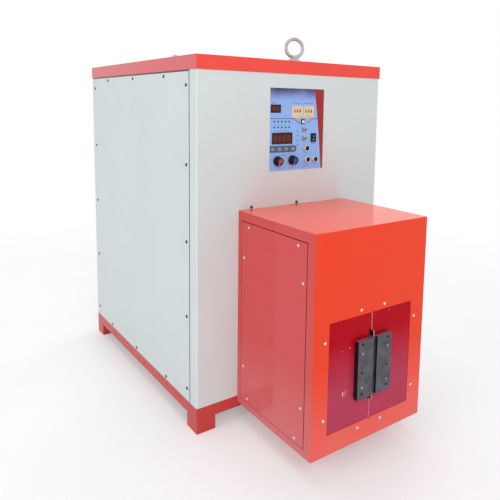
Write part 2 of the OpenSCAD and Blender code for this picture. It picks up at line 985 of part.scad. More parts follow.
module displays() {
    color("black")
        for (d = [[small_display_shares, disp_w, disp_h],
                [large_display_shares, big_disp_w, big_disp_h]])
            at_panel(d[0]) {
                slab(d[1], d[2], -disp_d, disp_out);
                slab(d[1] + 2 * disp_rim, d[2] + 2 * disp_rim, 0, disp_out);
            }
}

module at_lamps() {
    for (i = [0 : lamp_count - 1], j = [0, 1])
        at_panel(lamp_shares)
            translate([i * lamp_pitch, j * lamp_row, 0])
                children();
}

module indicator_lamps() {
    color("seagreen")
        at_lamps() {
            translate([0, 0, -ctl_t - lamp_seat_t])
                cylinder(r = lamp_r, h = ctl_t + lamp_seat_t, $fn = 24);
            sphere(r = lamp_r, $fn = 24);
            translate([0, 0, -ctl_t - lamp_seat_t])
                cylinder(r = lamp_r + lamp_flange, h = lamp_seat_t, $fn = 24);
        }
}

module key_strip() {
    straight = strip_w - strip_h / 2;
    color("darkslategray")
        at_panel(strip_shares)
            translate([-strip_w / 2, 0, 0]) {
                translate([0, -strip_h / 2, 0])
                    cube([straight, strip_h, strip_t]);
                translate([straight, 0, 0])
                    cylinder(d = strip_h, h = strip_t);
                for (i = [0 : 3])
                    translate([strip_h / 2 + i * key_pitch, 0, 0]) {
                        for (x = [-1, 1])
                            translate([x * key_r / 2, 0, 0])
                                cylinder(r = key_r, h = strip_t + key_out, $fn = 32);
                        slab(key_r, 2 * key_r, 0, strip_t + key_out);
                    }
            }
}

// Knob with a skirt, a body, a coloured cap and a pointer, on its shaft
module knob(shares) {
    top = knob_air + knob_h;
    at_panel(shares) {
        translate([0, 0, knob_air])
            cylinder(r = knob_r, h = knob_h * knob_skirt_share);
        translate([0, 0, knob_air])
            cylinder(r1 = knob_r * knob_body_share, r2 = knob_r * knob_body_share - pointer_t,
                h = knob_h);
        cylinder(r = knob_r * knob_cap_share, h = top + pointer_t / 2);
        rotate([0, 0, -knob_start])
            translate([-pointer_w / 2, 0, top - pointer_t])
                cube([pointer_w, knob_r * knob_body_share - pointer_t, 2 * pointer_t]);
        translate([0, 0, -ctl_t - pot_d / 2])
            cylinder(r = shaft_r, h = ctl_t + pot_d / 2 + top / 2);
    }
}

module left_knob() {
    color("black")
        knob(knob_shares[0]);
}

module right_knob() {
    color("black")
        knob(knob_shares[1]);
}

module potentiometers() {
    color("gray")
        for (p = knob_shares)
            at_panel(p)
                difference() {
                    union() {
                        translate([0, 0, -ctl_t - pot_d])
                            cylinder(r = pot_r, h = pot_d);
                        translate([0, 0, -ctl_t - cut])
                            cylinder(r = pot_bush_r, h = ctl_t + cut);
                    }
                    translate([0, 0, -ctl_t - pot_d * 0.8])
                        cylinder(r = shaft_r + run, h = ctl_t + pot_d);
                }
}

module toggle_switches() {
    color("silver")
        for (p = toggle_shares)
            at_panel(p)
                difference() {
                    union() {
                        slab(toggle_body_w, toggle_body_h, -ctl_t - toggle_body_d, -ctl_t);
                        translate([0, 0, -ctl_t - cut])
                            cylinder(r = toggle_bush_r, h = ctl_t + cut + toggle_bush_l);
                        cylinder(r = toggle_nut_r, h = toggle_nut_t, $fn = 6);
                    }
                    translate([0, 0, toggle_pivot - ball_r - 2 * lever_tail])
                        cylinder(r = ball_r + run, h = toggle_bush_l + 2 * lever_tail + ball_r);
                }
}

// Lever with its ball, tipped upwards at rest
module toggle(shares) {
    color("silver")
        at_panel(shares)
            translate([0, 0, toggle_pivot])
                rotate([-toggle_tilt, 0, 0]) {
                    sphere(r = ball_r);
                    cylinder(r1 = lever_r, r2 = lever_tip_r, h = lever_l - lever_tip_r);
                    translate([0, 0, lever_l - lever_tip_r])
                        sphere(r = lever_tip_r);
                    translate([0, 0, -ball_r / 2 - lever_tail])
                        cylinder(r = lever_r, h = lever_tail + ball_r / 2);
                }
}

module upper_toggle() {
    toggle(toggle_shares[0]);
}

module lower_toggle() {
    toggle(toggle_shares[1]);
}

module rocker_housing() {
    open_w = rock_w - 2 * rock_rim;
    open_h = rock_h - 2 * rock_rim;
    color("black")
        at_panel(rocker_shares)
            difference() {
                union() {
                    slab(rock_w, rock_h, 0, rock_out);
                    slab(rock_w - rock_rim, rock_h - rock_rim, -rock_d, 0);
                }
                slab(open_w, open_h, -rock_d * 0.8, rock_out + cut);
                translate([-open_w / 2 - rock_pin_l - fit, 0, rock_pivot])
                    rotate([0, 90, 0])
                        cylinder(r = rock_pin_r + run, h = open_w + 2 * (rock_pin_l + fit));
            }
}

// Rocker with two flats that meet at its middle, its upper half standing out at rest
module power_rocker() {
    open_w = rock_w - 2 * rock_rim;
    reach = rock_h / 2 - rock_rim - rock_air;
    rise = reach * tan(rock_tilt);
    face = rock_face - rock_pivot;
    color("black")
        at_panel(rocker_shares)
            translate([0, 0, rock_pivot])
                rotate([rock_tilt, 0, 0]) {
                    intersection() {
                        rotate([0, 90, 0])
                            cylinder(r = reach, h = open_w - 2 * rock_air, center = true);
                        translate([-open_w / 2, 0, 0])
                            rotate([90, 0, 90])
                                linear_extrude(height = open_w)
                                    polygon([[-reach, -face], [reach, -face],
                                        [reach, face + rise], [0, face],
                                        [-reach, face + rise]]);
                    }
                    rotate([0, 90, 0])
                        cylinder(r = rock_pin_r, h = open_w + 2 * rock_pin_l, center = true);
                }
}

// Chrome bezels of the push buttons and the square frame of the reset button
module button_bezels() {
    color("silver") {
        for (p = button_shares)
            at_panel(p)
                difference() {
                    union() {
                        cylinder(r = bezel_r, h = bezel_out / 2);
                        translate([0, 0, bezel_out / 2])
                            cylinder(r1 = bezel_r, r2 = (bezel_r + cap_r) / 2,
                                h = bezel_out / 2);
                        translate([0, 0, -barrel_d])
                            cylinder(r = barrel_r, h = barrel_d + cut);
                    }
                    translate([0, 0, -barrel_d + barrel_floor])
                        cylinder(r = cap_r + run, h = barrel_d + bezel_out);
                }
        at_panel(reset_shares)
            difference() {
                union() {
                    slab(reset_w, reset_w, 0, reset_out);
                    slab(reset_w - 2 * reset_rim, reset_w - 2 * reset_rim, -reset_d, 0);
                }
                slab(reset_cap + 2 * fit, reset_cap + 2 * fit, -reset_d * 0.8,
                    reset_out + cut);
            }
    }
}

module button_cap(shares) {
    color("black")
        at_panel(shares)
            translate([0, 0, -cap_d])
                cylinder(r = cap_r, h = cap_d + bezel_out + cap_out);
}

module upper_button() {
    button_cap(button_shares[0]);
}

module lower_left_button() {
    button_cap(button_shares[1]);
}

module lower_right_button() {
    button_cap(button_shares[2]);
}

module reset_button() {
    color("white")
        at_panel(reset_shares)
            slab(reset_cap, reset_cap, -reset_cap_d, reset_cap_out + reset_travel);
}

module at_digits() {
    for (i = [-1 : 1])
        translate([i * digit_pitch, 0, 0])
            children();
}

module at_step_keys() {
    at_digits()
        for (y = [-1, 1])
            translate([0, y * step_key_z, 0])
                children();
}

// Setting switches: a bezel and a body with a cavity for each number wheel
module setting_switches() {
    body_w = set_w - 2 * set_body_in;
    color("tan")
        for (p = set_shares)
            at_panel(p) {
                difference() {
                    union() {
                        slab(set_w, set_h, 0, set_rim);
                        slab(body_w, set_h - 2 * set_body_in, -set_d, cut);
                    }
                    at_digits() {
                        translate([0, wheel_up, wheel_axis])
                            rotate([0, 90, 0])
                                cylinder(r = wheel_r + wheel_air,
                                    h = wheel_w + 2 * wheel_air, center = true);
                        translate([0, wheel_up, 0])
                            slab(wheel_w - 2 * wheel_air, digit_window, -cut, set_rim + cut);
                    }
                    at_step_keys()
                        slab(step_key_w + 2 * fit, step_key_h + 2 * fit, -step_key_d,
                            set_rim + cut);
                }
                translate([0, wheel_up, wheel_axis])
                    rotate([0, 90, 0])
                        cylinder(r = wheel_shaft_r, h = body_w - 2 * cut, center = true);
            }
}

// Ten-sided number wheel; wheels 1 to 3 are in the left switch, 4 to 6 in the right one
module number_wheel(i) {
    color("white")
        at_panel(set_shares[i < 4 ? 0 : 1])
            translate([((i - 1) % 3 - 1) * digit_pitch, wheel_up, wheel_axis])
                rotate([0, 90, 0])
                    difference() {
                        rotate([0, 0, 180 / 10])
                            cylinder(r = wheel_r, h = wheel_w, center = true, $fn = 10);
                        cylinder(r = wheel_shaft_r + run, h = wheel_w + 2 * cut,
                            center = true);
                    }
}

module setting_keys() {
    color("khaki")
        for (p = set_shares)
            at_panel(p)
                at_step_keys()
                    slab(step_key_w, step_key_h, -step_key_d, set_rim + step_key_out);
}

// Circuit board on four posts behind the control panel
module control_board() {
    board_w = ctl_w * board_share;
    board_h = ctl_h * board_share;
    color("darkgreen")
        at_panel([0.5, 0.5]) {
            slab(board_w, board_h, -board_back - board_t, -board_back);
            for (x = [-1, 1], y = [-1, 1])
                translate([x * (board_w / 2 - 2 * board_post_r),
                    y * (board_h / 2 - 2 * board_post_r), -board_back - board_t / 2])
                    cylinder(r = board_post_r, h = board_back + board_t / 2 - ctl_t);
        }
}

// Heat station box: front, floor, roof and doubled side walls, open towards the cabinet
module box_shell() {
    in_x = half_box - 2 * box_wall;
    color("tomato")
        difference() {
            at_box()
                difference() {
                    block(-half_box, half_box, -box_d, 0, box_z, box_top);
                    block(-in_x, in_x, -box_d + box_wall, -box_wall,
                        box_z + box_wall, box_top - box_wall);
                    block(box_flange - half_box, half_box - box_flange, -2 * box_wall, cut,
                        box_z + box_flange, box_top - box_flange);
                    block(-window_w / 2, window_w / 2, -box_d - cut, -box_d + box_wall + cut,
                        window_z, window_z + window_h);
                    for (side = [-1, 1])
                        translate([0, 0, window_mid + side * (window_h / 2 + relief_out)])
                            rod_y(relief_r, -box_d - cut, -box_d + box_wall + cut);
                    block(-insul_split / 2, insul_split / 2, -box_d - cut,
                        -box_d + box_wall + cut, window_z - relief_out,
                        window_z + window_h + relief_out);
                    both_sides() {
                        cover_space(cover_gap, half_box - box_wall);
                        cover_space(-cover_ledge, in_x - cut);
                        at_cover_screws()
                            bright_screw_hole();
                    }
                    at_window_screws()
                        bright_screw_hole();
                }
        }
}

// The room of a side cover, grown by a margin, from x outwards
module cover_space(margin, x) {
    block(x, half_box + cut, -cover_back - cover_w - margin, -cover_back + margin,
        cover_z - margin, cover_z + cover_h + margin);
}

module box_cover() {
    difference() {
        block(-half_box, box_wall - half_box, -cover_back - cover_w, -cover_back,
            cover_z, cover_z + cover_h);
        at_cover_screws()
            bright_screw_hole();
    }
}

module left_box_cover() {
    color("tomato")
        at_box()
            box_cover();
}

module right_box_cover() {
    color("tomato")
        at_box()
            mirror([1, 0, 0])
                box_cover();
}

module box_screws() {
    color("silver")
        at_box() {
            both_sides()
                at_cover_screws()
                    dome_screw(bright_r, bright_h, bright_shank_r, bright_shank_l);
            at_window_screws()
                dome_screw(bright_r, bright_h, bright_shank_r, bright_shank_l);
        }
}

// Two insulating panels behind the window, with a notch for the output bars
module insulating_panels() {
    back = -box_d + box_wall + insul_t;
    color("crimson")
        at_box()
            difference() {
                both_sides()
                    block(insul_split / 2, window_w / 2 + insul_lap, -box_d + box_wall, back,
                        window_z - insul_lap, window_z + window_h + insul_lap);
                block(-slot_half, slot_half, -box_d, back + cut,
                    out_z - film_over - fit, out_top + film_over + fit);
                at_window_screws()
                    bright_screw_hole();
                at_output_screws()
                    pin_hole();
            }
}

module at_output_screws() {
    both_sides()
        for (z = pin_zs)
            translate([tap_x, out_face, z])
                rotate([90, 0, 0])
                    children();
}

module pin_hole() {
    translate([0, 0, -pin_shank_l - cut])
        cylinder(r = pin_shank_r + fit, h = pin_shank_l + 2 * cut);
}

// Output plate on two bosses, its bar, and its half of the single-turn secondary
module output_plate() {
    ring_front = -tx_y - sec_r;
    difference() {
        union() {
            block(out_gap / 2, out_gap / 2 + out_w, out_face, out_face + out_t,
                out_z, out_top);
            block(bar_in, out_gap / 2 + bar_root, out_face + bar_back, ring_front,
                out_z, out_top);
            for (z = pin_zs)
                translate([tap_x, 0, z])
                    rod_y(pin_boss_r, out_face + out_t - cut, -box_d + box_wall);
            translate([0, -tx_y, out_z])
                difference() {
                    cylinder(r = sec_out, h = out_h);
                    translate([0, 0, -cut])
                        cylinder(r = sec_r, h = out_h + 2 * cut);
                    block(-sec_out - cut, 0, -sec_out - cut, sec_out + cut,
                        -cut, out_h + cut);
                    block(-cut, bar_in, -sec_out - cut, 0, -cut, out_h + cut);
                }
        }
        at_output_screws()
            pin_hole();
        for (z = [out_top - tap_top, out_top - tap_mid, out_z + tap_low])
            translate([tap_x, 0, z])
                rod_y(tap_r, out_face - cut, out_face + out_t + cut);
    }
}

module right_output_plate() {
    color("dimgray")
        at_box()
            output_plate();
}

module left_output_plate() {
    color("dimgray")
        at_box()
            mirror([1, 0, 0])
                output_plate();
}

module insulating_sheet() {
    color("beige")
        at_box()
            block(-film_t / 2, film_t / 2, -box_d - film_out, -tx_y - sec_out,
                out_z - film_over, out_top + film_over);
}

module output_screws() {
    color("silver")
        at_box()
            at_output_screws()
                dome_screw(pin_r, pin_h, pin_shank_r, pin_shank_l);
}

// Transformer core with its middle and outer legs, on two stands
module transformer_core() {
    color("slategray")
        at_box()
            translate([0, -tx_y, 0]) {
                for (z = [coil_z - yoke_h, coil_top])
                    block(-core_w / 2, core_w / 2, -leg_w / 2, leg_w / 2, z, z + yoke_h);
                block(-leg_w / 2, leg_w / 2, -leg_w / 2, leg_w / 2, coil_z - cut,
                    coil_top + cut);
                both_sides() {
                    block(core_w / 2 - side_leg_w, core_w / 2, -leg_w / 2, leg_w / 2,
                        coil_z - cut, coil_top + cut);
                    block(core_w / 2 - stand_w, core_w / 2, -leg_w / 2, leg_w / 2,
                        box_z + box_wall, coil_z - yoke_h + cut);
                }
            }
}

// Primary coil round the middle leg, with two water nipples
module primary_coil() {
    color("peru")
        at_box()
            difference() {
                union() {
                    translate([0, -tx_y, coil_z])
                        cylinder(r = coil_out, h = coil_top - coil_z);
                    for (x = [-box_hose_x, box_hose_x])
                        translate([x, coil_port_y, coil_top - cut])
                            cylinder(r = nipple_r, h = nipple_l + cut);
                }
                translate([0, -tx_y, coil_z - cut])
                    cylinder(r = coil_in, h = coil_top - coil_z + 2 * cut);
                for (x = [-box_hose_x, box_hose_x])
                    translate([x, coil_port_y, coil_top])
                        cylinder(r = water_r, h = nipple_l + cut);
            }
}

// Four tank capacitors on a shelf over the core
module tank_capacitors() {
    shelf_z = yoke_top + shelf_t;
    tank_y = shelf_back - shelf_d / 2;
    color("lightgray")
        at_box() {
            block(-shelf_w / 2, shelf_w / 2, shelf_back - shelf_d, shelf_back,
                yoke_top, shelf_z);
            for (i = [0 : 3])
                translate([(i - 1.5) * shelf_w / 4, tank_y, shelf_z + seat]) {
                    block(-tank_w / 2, tank_w / 2, -tank_d / 2, tank_d / 2, 0, tank_h);
                    for (y = [-1, 1])
                        translate([0, y * tank_d / 4, tank_h - cut])
                            cylinder(r = stud_r, h = stud_l + cut);
                }
        }
}

// Mounting plate that carries the power equipment, with slots for the rear hoses
module mounting_plate() {
    color("silver")
        at_cabinet()
            difference() {
                union() {
                    block(-mount_w / 2, mount_w / 2, mount_y, mount_back,
                        floor_top, floor_top + mount_h);
                    block(-mount_w / 2, mount_w / 2, mount_y, mount_y + mount_foot,
                        floor_top, floor_top + mount_t);
                }
                for (x = inlet_xs)
                    block(x - hose_hole, x + hose_hole, mount_y - cut, mount_back + cut,
                        port_z - hose_hole, port_z + hose_bend + hose_hole);
            }
}

module cold_plate() {
    color("silver")
        at_cabinet()
            difference() {
                union() {
                    block(cold_x - cold_w, cold_x, mount_y - cold_t, mount_y,
                        cold_z, cold_top);
                    for (x = inlet_xs)
                        translate([x, cold_mid, cold_z - nipple_l])
                            cylinder(r = nipple_r, h = nipple_l + cut);
                    for (x = [-box_hose_x, box_hose_x])
                        translate([box_x + x, cold_mid, cold_top - cut])
                            cylinder(r = nipple_r, h = nipple_l + cut);
                }
                for (x = inlet_xs)
                    translate([x, cold_mid, cold_z - nipple_l - cut])
                        cylinder(r = water_r, h = nipple_l + 2 * cut);
                for (x = [-box_hose_x, box_hose_x])
                    translate([box_x + x, cold_mid, cold_top - cut])
                        cylinder(r = water_r, h = nipple_l + 2 * cut);
            }
}

// Four inverter modules over two rectifier modules, on the cold plate
module power_modules() {
    pitch = cold_w / 4;
    color("ivory")
        at_cabinet()
            for (m = [[0, 1], [1, 1], [2, 1], [3, 1], [1, 0], [2, 0]])
                translate([cold_x - cold_w + (m[0] + 0.5) * pitch, mount_y - cold_t,
                    cold_z + cold_h * (0.25 + m[1] / 2)]) {
                    block(-module_w / 2, module_w / 2, -module_t, 0,
                        -module_h / 2, module_h / 2);
                    for (z = [-1, 0, 1])
                        translate([0, 0, z * module_h / 4])
                            rod_y(stud_r, -module_t - stud_l, -module_t + cut);
                }
}

// Smoothing capacitors on the floor plate
module dc_capacitors() {
    color("steelblue")
        at_cabinet()
            for (i = [-1 : 1], j = [-0.5, 0.5])
                translate([can_x + i * can_pitch, can_y + j * can_pitch, floor_top]) {
                    cylinder(r = can_r, h = can_h);
                    for (x = [-1, 1])
                        translate([x * can_r / 3, 0, can_h - cut])
                            cylinder(r = stud_r, h = stud_l + cut);
                }
}

// Filter choke: a closed core with a coil round each leg
module filter_choke() {
    half = choke_w / 2;
    leg_mid = half - choke_leg / 2;
    coil_half = choke_leg / 2 + choke_coil;
    top = choke_h - choke_leg;
    color("sienna")
        at_cabinet()
            translate([choke_x, choke_y, floor_top]) {
                difference() {
                    block(-half, half, -choke_d / 2, choke_d / 2, 0, choke_h);
                    block(choke_leg - half, half - choke_leg, -choke_d / 2 - cut,
                        choke_d / 2 + cut, choke_leg, top);
                }
                for (x = [-leg_mid, leg_mid])
                    translate([x, 0, 0])
                        difference() {
                            block(-coil_half, coil_half, -choke_d / 2 - choke_coil,
                                choke_d / 2 + choke_coil, choke_leg + seat, top - seat);
                            block(-choke_leg / 2 - seat, choke_leg / 2 + seat,
                                -choke_d / 2 - seat, choke_d / 2 + seat,
                                choke_leg - cut, top + cut);
                        }
            }
}

// Main contactor, with stepped rows of terminals, behind the mounting plate
module main_contactor() {
    step = contactor_h / 5;
    color("dimgray")
        at_cabinet()
            translate([contactor_x - contactor_w / 2, mount_back, contactor_z]) {
                cube([contactor_w, contactor_d / 2, contactor_h]);
                translate([0, 0, step])
                    cube([contactor_w, contactor_d, contactor_h - 2 * step]);
                for (i = [0 : 2], z = [step / 2, contactor_h - step / 2])
                    translate([(i + 0.5) * contactor_w / 3, 0, z])
                        rod_y(stud_r, contactor_d / 2 - cut, contactor_d / 2 + stud_l);
            }
}

// Quarter bend in the plane of X = 0, from -Y round to -Z about its centre
module quarter_bend(r) {
    rotate([90, 0, 90])
        rotate_extrude(angle = 90, $fn = 48)
            translate([hose_bend, 0])
                circle(r = r, $fn = 32);
}

// Hose from the cold plate's foot back to the rear panel
module rear_hose(r, extra) {
    translate([0, cold_mid, port_z + hose_bend])
        cylinder(r = r, h = cold_z - port_z - hose_bend + extra);
    translate([0, cold_mid + hose_bend, port_z + hose_bend])
        rotate([180, 0, 0])
            quarter_bend(r);
    translate([0, 0, port_z])
        rod_y(r, cold_mid + hose_bend, hose_end + extra);
}

// Hose from the cold plate's top through the cabinet's front and down to the coil
module box_hose(r, extra) {
    straight_z = hose_run_z - hose_bend;
    translate([0, cold_mid, cold_top - extra])
        cylinder(r = r, h = straight_z - cold_top + extra);
    translate([0, cold_mid - hose_bend, straight_z])
        quarter_bend(r);
    translate([0, 0, hose_run_z])
        rod_y(r, coil_port_y + hose_bend, cold_mid - hose_bend);
    translate([0, coil_port_y + hose_bend, straight_z])
        mirror([0, 1, 0])
            quarter_bend(r);
    translate([0, coil_port_y, coil_top - extra])
        cylinder(r = r, h = straight_z - coil_top + extra);
}

module water_hoses() {
    color("royalblue")
        at_cabinet() {
            for (x = inlet_xs)
                translate([x, 0, 0])
                    difference() {
                        rear_hose(hose_r, 0);
                        rear_hose(hose_bore, cut);
                    }
            for (x = [-box_hose_x, box_hose_x])
                translate([box_x + x, 0, 0])
                    difference() {
                        box_hose(hose_r, 0);
                        box_hose(hose_bore, cut);
                    }
        }
}

// Cable gland with a hexagon nut, a domed cap and a locknut inside
module cable_gland() {
    nut_r = gland_thread_r + 2 * thread_wall;
    color("black")
        at_cabinet()
            translate([port_x, 0, port_z])
                difference() {
                    union() {
                        translate([0, cab_d, 0])
                            rotate([-90, 0, 0])
                                cylinder(r = nut_r, h = gland_l * 0.45, $fn = 6);
                        translate([0, cab_d, 0])
                            rotate([-90, 0, 0])
                                cylinder(r1 = gland_thread_r, r2 = gland_r + thread_wall,
                                    h = gland_l);
                        rod_y(gland_thread_r, inner_back - nut_t, cab_d + cut);
                        translate([0, inner_back, 0])
                            rotate([90, 0, 0])
                                cylinder(r = nut_r, h = nut_t / 2, $fn = 6);
                    }
                    rod_y(gland_r, inner_back - nut_t - cut, cab_d + gland_l + cut);
                }
}

// Two water spigots with their nuts, and the nipples that hold the hoses inside
module water_fittings() {
    nut_r = spigot_thread_r + 2 * thread_wall;
    color("goldenrod")
        at_cabinet()
            for (x = inlet_xs)
                translate([x, 0, port_z])
                    difference() {
                        union() {
                            rod_y(spigot_r, cab_d, cab_d + nut_t + spigot_l);
                            rod_y(spigot_thread_r, inner_back - cut, cab_d + cut);
                            rod_y(nipple_r, hose_end - nipple_l, hose_end + cut);
                            translate([0, cab_d, 0])
                                rotate([-90, 0, 0])
                                    cylinder(r = nut_r, h = nut_t, $fn = 6);
                            translate([0, inner_back, 0])
                                rotate([90, 0, 0])
                                    cylinder(r = nut_r, h = nut_t, $fn = 6);
                        }
                        rod_y(water_r, hose_end - nipple_l - cut,
                            cab_d + nut_t + spigot_l + cut);
                    }
}

module at_fan() {
    at_cabinet()
        translate([0, inner_back, fan_z])
            children();
}

// Square fan frame with four struts that carry the motor
module fan_frame() {
    hub_r = fan_r * fan_hub_share;
    color("dimgray")
        at_fan()
            difference() {
                union() {
                    difference() {
                        block(-fan_w / 2, fan_w / 2, -fan_d, 0, -fan_w / 2, fan_w / 2);
                        rod_y(fan_r + fan_air, -fan_d - cut, cut);
                    }
                    intersection() {
                        rod_y(fan_r + 2 * fan_air, -fan_d, fan_strut - fan_d);
                        for (a = [0, 90])
                            rotate([0, a, 0])
                                block(-fan_w, fan_w, -fan_d, 0, -fan_strut / 2,
                                    fan_strut / 2);
                    }
                    rod_y(hub_r, -fan_d, fan_strut - fan_d);
                }
                rod_y(fan_shaft_r + run, -fan_d - cut, cut);
            }
}

// Rotor with its hub, shaft and pitched blades
module fan_rotor() {
    hub_r = fan_r * fan_hub_share;
    front = fan_strut - fan_d + fan_air;
    color("black")
        at_fan() {
            rod_y(hub_r, front, -fan_air);
            rod_y(fan_shaft_r, -fan_d, front + cut);
            intersection() {
                rod_y(fan_r, front, -fan_air);
                for (i = [0 : blade_count - 1])
                    rotate([0, i * 360 / blade_count, 0])
                        translate([0, (front - fan_air) / 2, 0])
                            rotate([blade_pitch, 0, 0])
                                block(hub_r / 2, fan_w, -fan_d, fan_d,
                                    -blade_t / 2, blade_t / 2);
            }
        }
}

// Finger guard of flat rings on two crossed bars
module fan_guard() {
    pitch = fan_r / guard_count;
    color("silver")
        at_cabinet()
            translate([0, cab_d, fan_z]) {
                for (i = [1 : guard_count])
                    difference() {
                        rod_y(i * pitch + guard_bar / 2, 0, guard_bar);
                        rod_y(i * pitch - guard_bar / 2, -cut, guard_bar + cut);
                    }
                for (a = [45, 135])
                    rotate([0, a, 0])
                        block(-fan_r - guard_lug, fan_r + guard_lug, 0, guard_bar,
                            -guard_bar, guard_bar);
            }
}

base_frame();
cabinet_frame();
floor_plate();
front_panel();
left_side_panel();
right_side_panel();
rear_panel();
top_lid();
panel_screws();
lifting_eyebolts();
control_panel();
displays();
indicator_lamps();
key_strip();
left_knob();
right_knob();
potentiometers();
toggle_switches();
upper_toggle();
lower_toggle();
rocker_housing();
power_rocker();
button_bezels();
upper_button();
lower_left_button();
lower_right_button();
reset_button();
setting_switches();
number_wheel(1);  // number_wheel_1
number_wheel(2);  // number_wheel_2
number_wheel(3);  // number_wheel_3
number_wheel(4);  // number_wheel_4
number_wheel(5);  // number_wheel_5
number_wheel(6);  // number_wheel_6
setting_keys();
control_board();
box_shell();
left_box_cover();
right_box_cover();
box_screws();
insulating_panels();
left_output_plate();
right_output_plate();
insulating_sheet();
output_screws();
transformer_core();
primary_coil();
tank_capacitors();
power_modules();
cold_plate();
dc_capacitors();
filter_choke();
main_contactor();
mounting_plate();
water_hoses();
cable_gland();
water_fittings();
fan_frame();
fan_rotor();
fan_guard();
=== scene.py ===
# Induction heating machine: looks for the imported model. Metres, +Z up, front towards -Y.
import math
import random

import bmesh
import bpy
from mathutils import Matrix, Vector


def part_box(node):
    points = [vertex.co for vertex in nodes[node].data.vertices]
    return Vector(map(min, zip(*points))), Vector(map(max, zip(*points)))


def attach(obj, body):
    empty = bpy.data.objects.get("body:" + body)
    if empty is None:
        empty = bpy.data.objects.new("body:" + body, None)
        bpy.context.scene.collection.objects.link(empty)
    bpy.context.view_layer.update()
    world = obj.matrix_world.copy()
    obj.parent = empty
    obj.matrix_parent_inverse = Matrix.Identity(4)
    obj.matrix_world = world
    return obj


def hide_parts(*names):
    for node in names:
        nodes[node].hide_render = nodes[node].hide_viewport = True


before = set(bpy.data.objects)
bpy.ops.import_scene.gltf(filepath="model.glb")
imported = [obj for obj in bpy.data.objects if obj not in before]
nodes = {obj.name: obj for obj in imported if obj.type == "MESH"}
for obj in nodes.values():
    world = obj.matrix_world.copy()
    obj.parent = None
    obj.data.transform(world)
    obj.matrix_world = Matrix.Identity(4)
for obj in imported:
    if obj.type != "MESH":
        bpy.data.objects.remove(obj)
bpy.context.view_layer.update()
mm = 0.001
weld = 2e-6  # corners closer than this are one corner
front, sideways = Vector((0, -1, 0)), Vector((1, 0, 0))
toFront = Matrix(((1, 0, 0, 0), (0, 0, -1, 0), (0, 1, 0, 0), (0, 0, 0, 1)))  # turns +Z to the front
toBack = Matrix(((1, 0, 0, 0), (0, 0, 1, 0), (0, -1, 0, 0), (0, 0, 0, 1)))


# Camera
camera = {
    "place": (-1.19006, -1.84855, 1.10476),
    "yaw": 35.74,
    "pitch": -6.95,
    "roll": 0.94,
    "lens": 39.12,
    "shift": (-0.05, -0.16),
}


def makeCamera():
    yaw, pitch, roll = (math.radians(camera[k]) for k in ("yaw", "pitch", "roll"))
    ahead = Vector((math.sin(yaw) * math.cos(pitch), math.cos(yaw) * math.cos(pitch), math.sin(pitch)))
    level = Vector((math.cos(yaw), -math.sin(yaw), 0))
    tall = level.cross(ahead)
    right = level * math.cos(roll) + tall * math.sin(roll)
    top = tall * math.cos(roll) - level * math.sin(roll)
    data = bpy.data.cameras.new("camera")
    data.lens = camera["lens"]
    data.sensor_width = 36
    data.shift_x, data.shift_y = camera["shift"]
    data.clip_start, data.clip_end = 0.05, 50
    eye = bpy.data.objects.new("camera", data)
    turn = Matrix((right, top, -ahead)).transposed().to_4x4()
    eye.matrix_world = Matrix.Translation(camera["place"]) @ turn
    bpy.context.scene.collection.objects.link(eye)
    bpy.context.scene.camera = eye


makeCamera()


# A node's sockets are set to values, or joined where a value is another node's output
def fill(node, sockets):
    for key, value in sockets.items():
        socket = node.inputs[key if isinstance(key, int) else key.replace("_", " ")]
        if isinstance(value, bpy.types.NodeSocket):
            node.id_data.links.new(value, socket)
        else:
            socket.default_value = value
    return node.outputs


# Materials, each built node by node round its own Principled shader
class Shader:
    def __init__(self, name, **sockets):
        self.material = bpy.data.materials.new(name)
        self.material.use_nodes = True
        self.tree = self.material.node_tree
        self.surface = self.tree.nodes["Principled BSDF"]
        fill(self.surface, sockets)
        self.place = self.add("ShaderNodeTexCoord")["Object"]

    def add(self, kind, **sockets):
        return fill(self.tree.nodes.new(kind), sockets)

    def stretched(self, scale):
        return self.add("ShaderNodeMapping", Vector=self.place, Scale=scale)["Vector"]

    def noise(self, scale, detail=3, place=None, roughness=0.5):
        return self.add("ShaderNodeTexNoise", Vector=place or self.place, Scale=scale,
            Detail=detail, Roughness=roughness)["Fac"]

    def spread(self, value, low, high, fromLow=0.3, fromHigh=0.7):
        return self.add("ShaderNodeMapRange", Value=value, From_Min=fromLow, From_Max=fromHigh,
            To_Min=low, To_Max=high)["Result"]

    def ramp(self, value, stops):
        node = self.tree.nodes.new("ShaderNodeValToRGB")
        while len(node.color_ramp.elements) < len(stops):
            node.color_ramp.elements.new(0.5)
        for element, (at, color) in zip(node.color_ramp.elements, stops):
            element.position = at
            element.color = (*color, 1)
        return fill(node, {"Fac": value})["Color"]

    # two tones that change into each other
    def tones(self, value, first, second, low=0.3, high=0.7):
        return self.ramp(value, [(low, first), (high, second)])

    def math(self, operation, *values):
        node = self.tree.nodes.new("ShaderNodeMath")
        node.operation = operation
        return fill(node, dict(enumerate(values)))["Value"]

    def mix(self, factor, first, second):
        node = self.tree.nodes.new("ShaderNodeMix")
        node.data_type = "RGBA"
        first, second = ((*c, 1) if isinstance(c, tuple) else c for c in (first, second))
        return fill(node, {0: factor, 6: first, 7: second})[2]

    def axes(self, source=None):
        return self.add("ShaderNodeSeparateXYZ", Vector=source or self.place)

    def facing(self):
        return self.axes(self.add("ShaderNodeNewGeometry")["Normal"])

    # share of the painted highlight: nought on flat faces, one halfway round a front edge's fold
    def foldShare(self, facing):
        x, y, z = (self.math("ABSOLUTE", facing[axis]) for axis in "XYZ")
        return self.math("MULTIPLY", self.math("MULTIPLY", self.math("ADD", x, z), y), 2)

    def finished(self, color, rough, relief, strength, depth):
        bump = self.add("ShaderNodeBump", Height=relief, Strength=strength, Distance=depth)
        fill(self.surface, {"Base Color": color, "Roughness": rough, "Normal": bump["Normal"]})
        return self.material


def tinted(color, share):
    return tuple(min(1, c * share) for c in color)
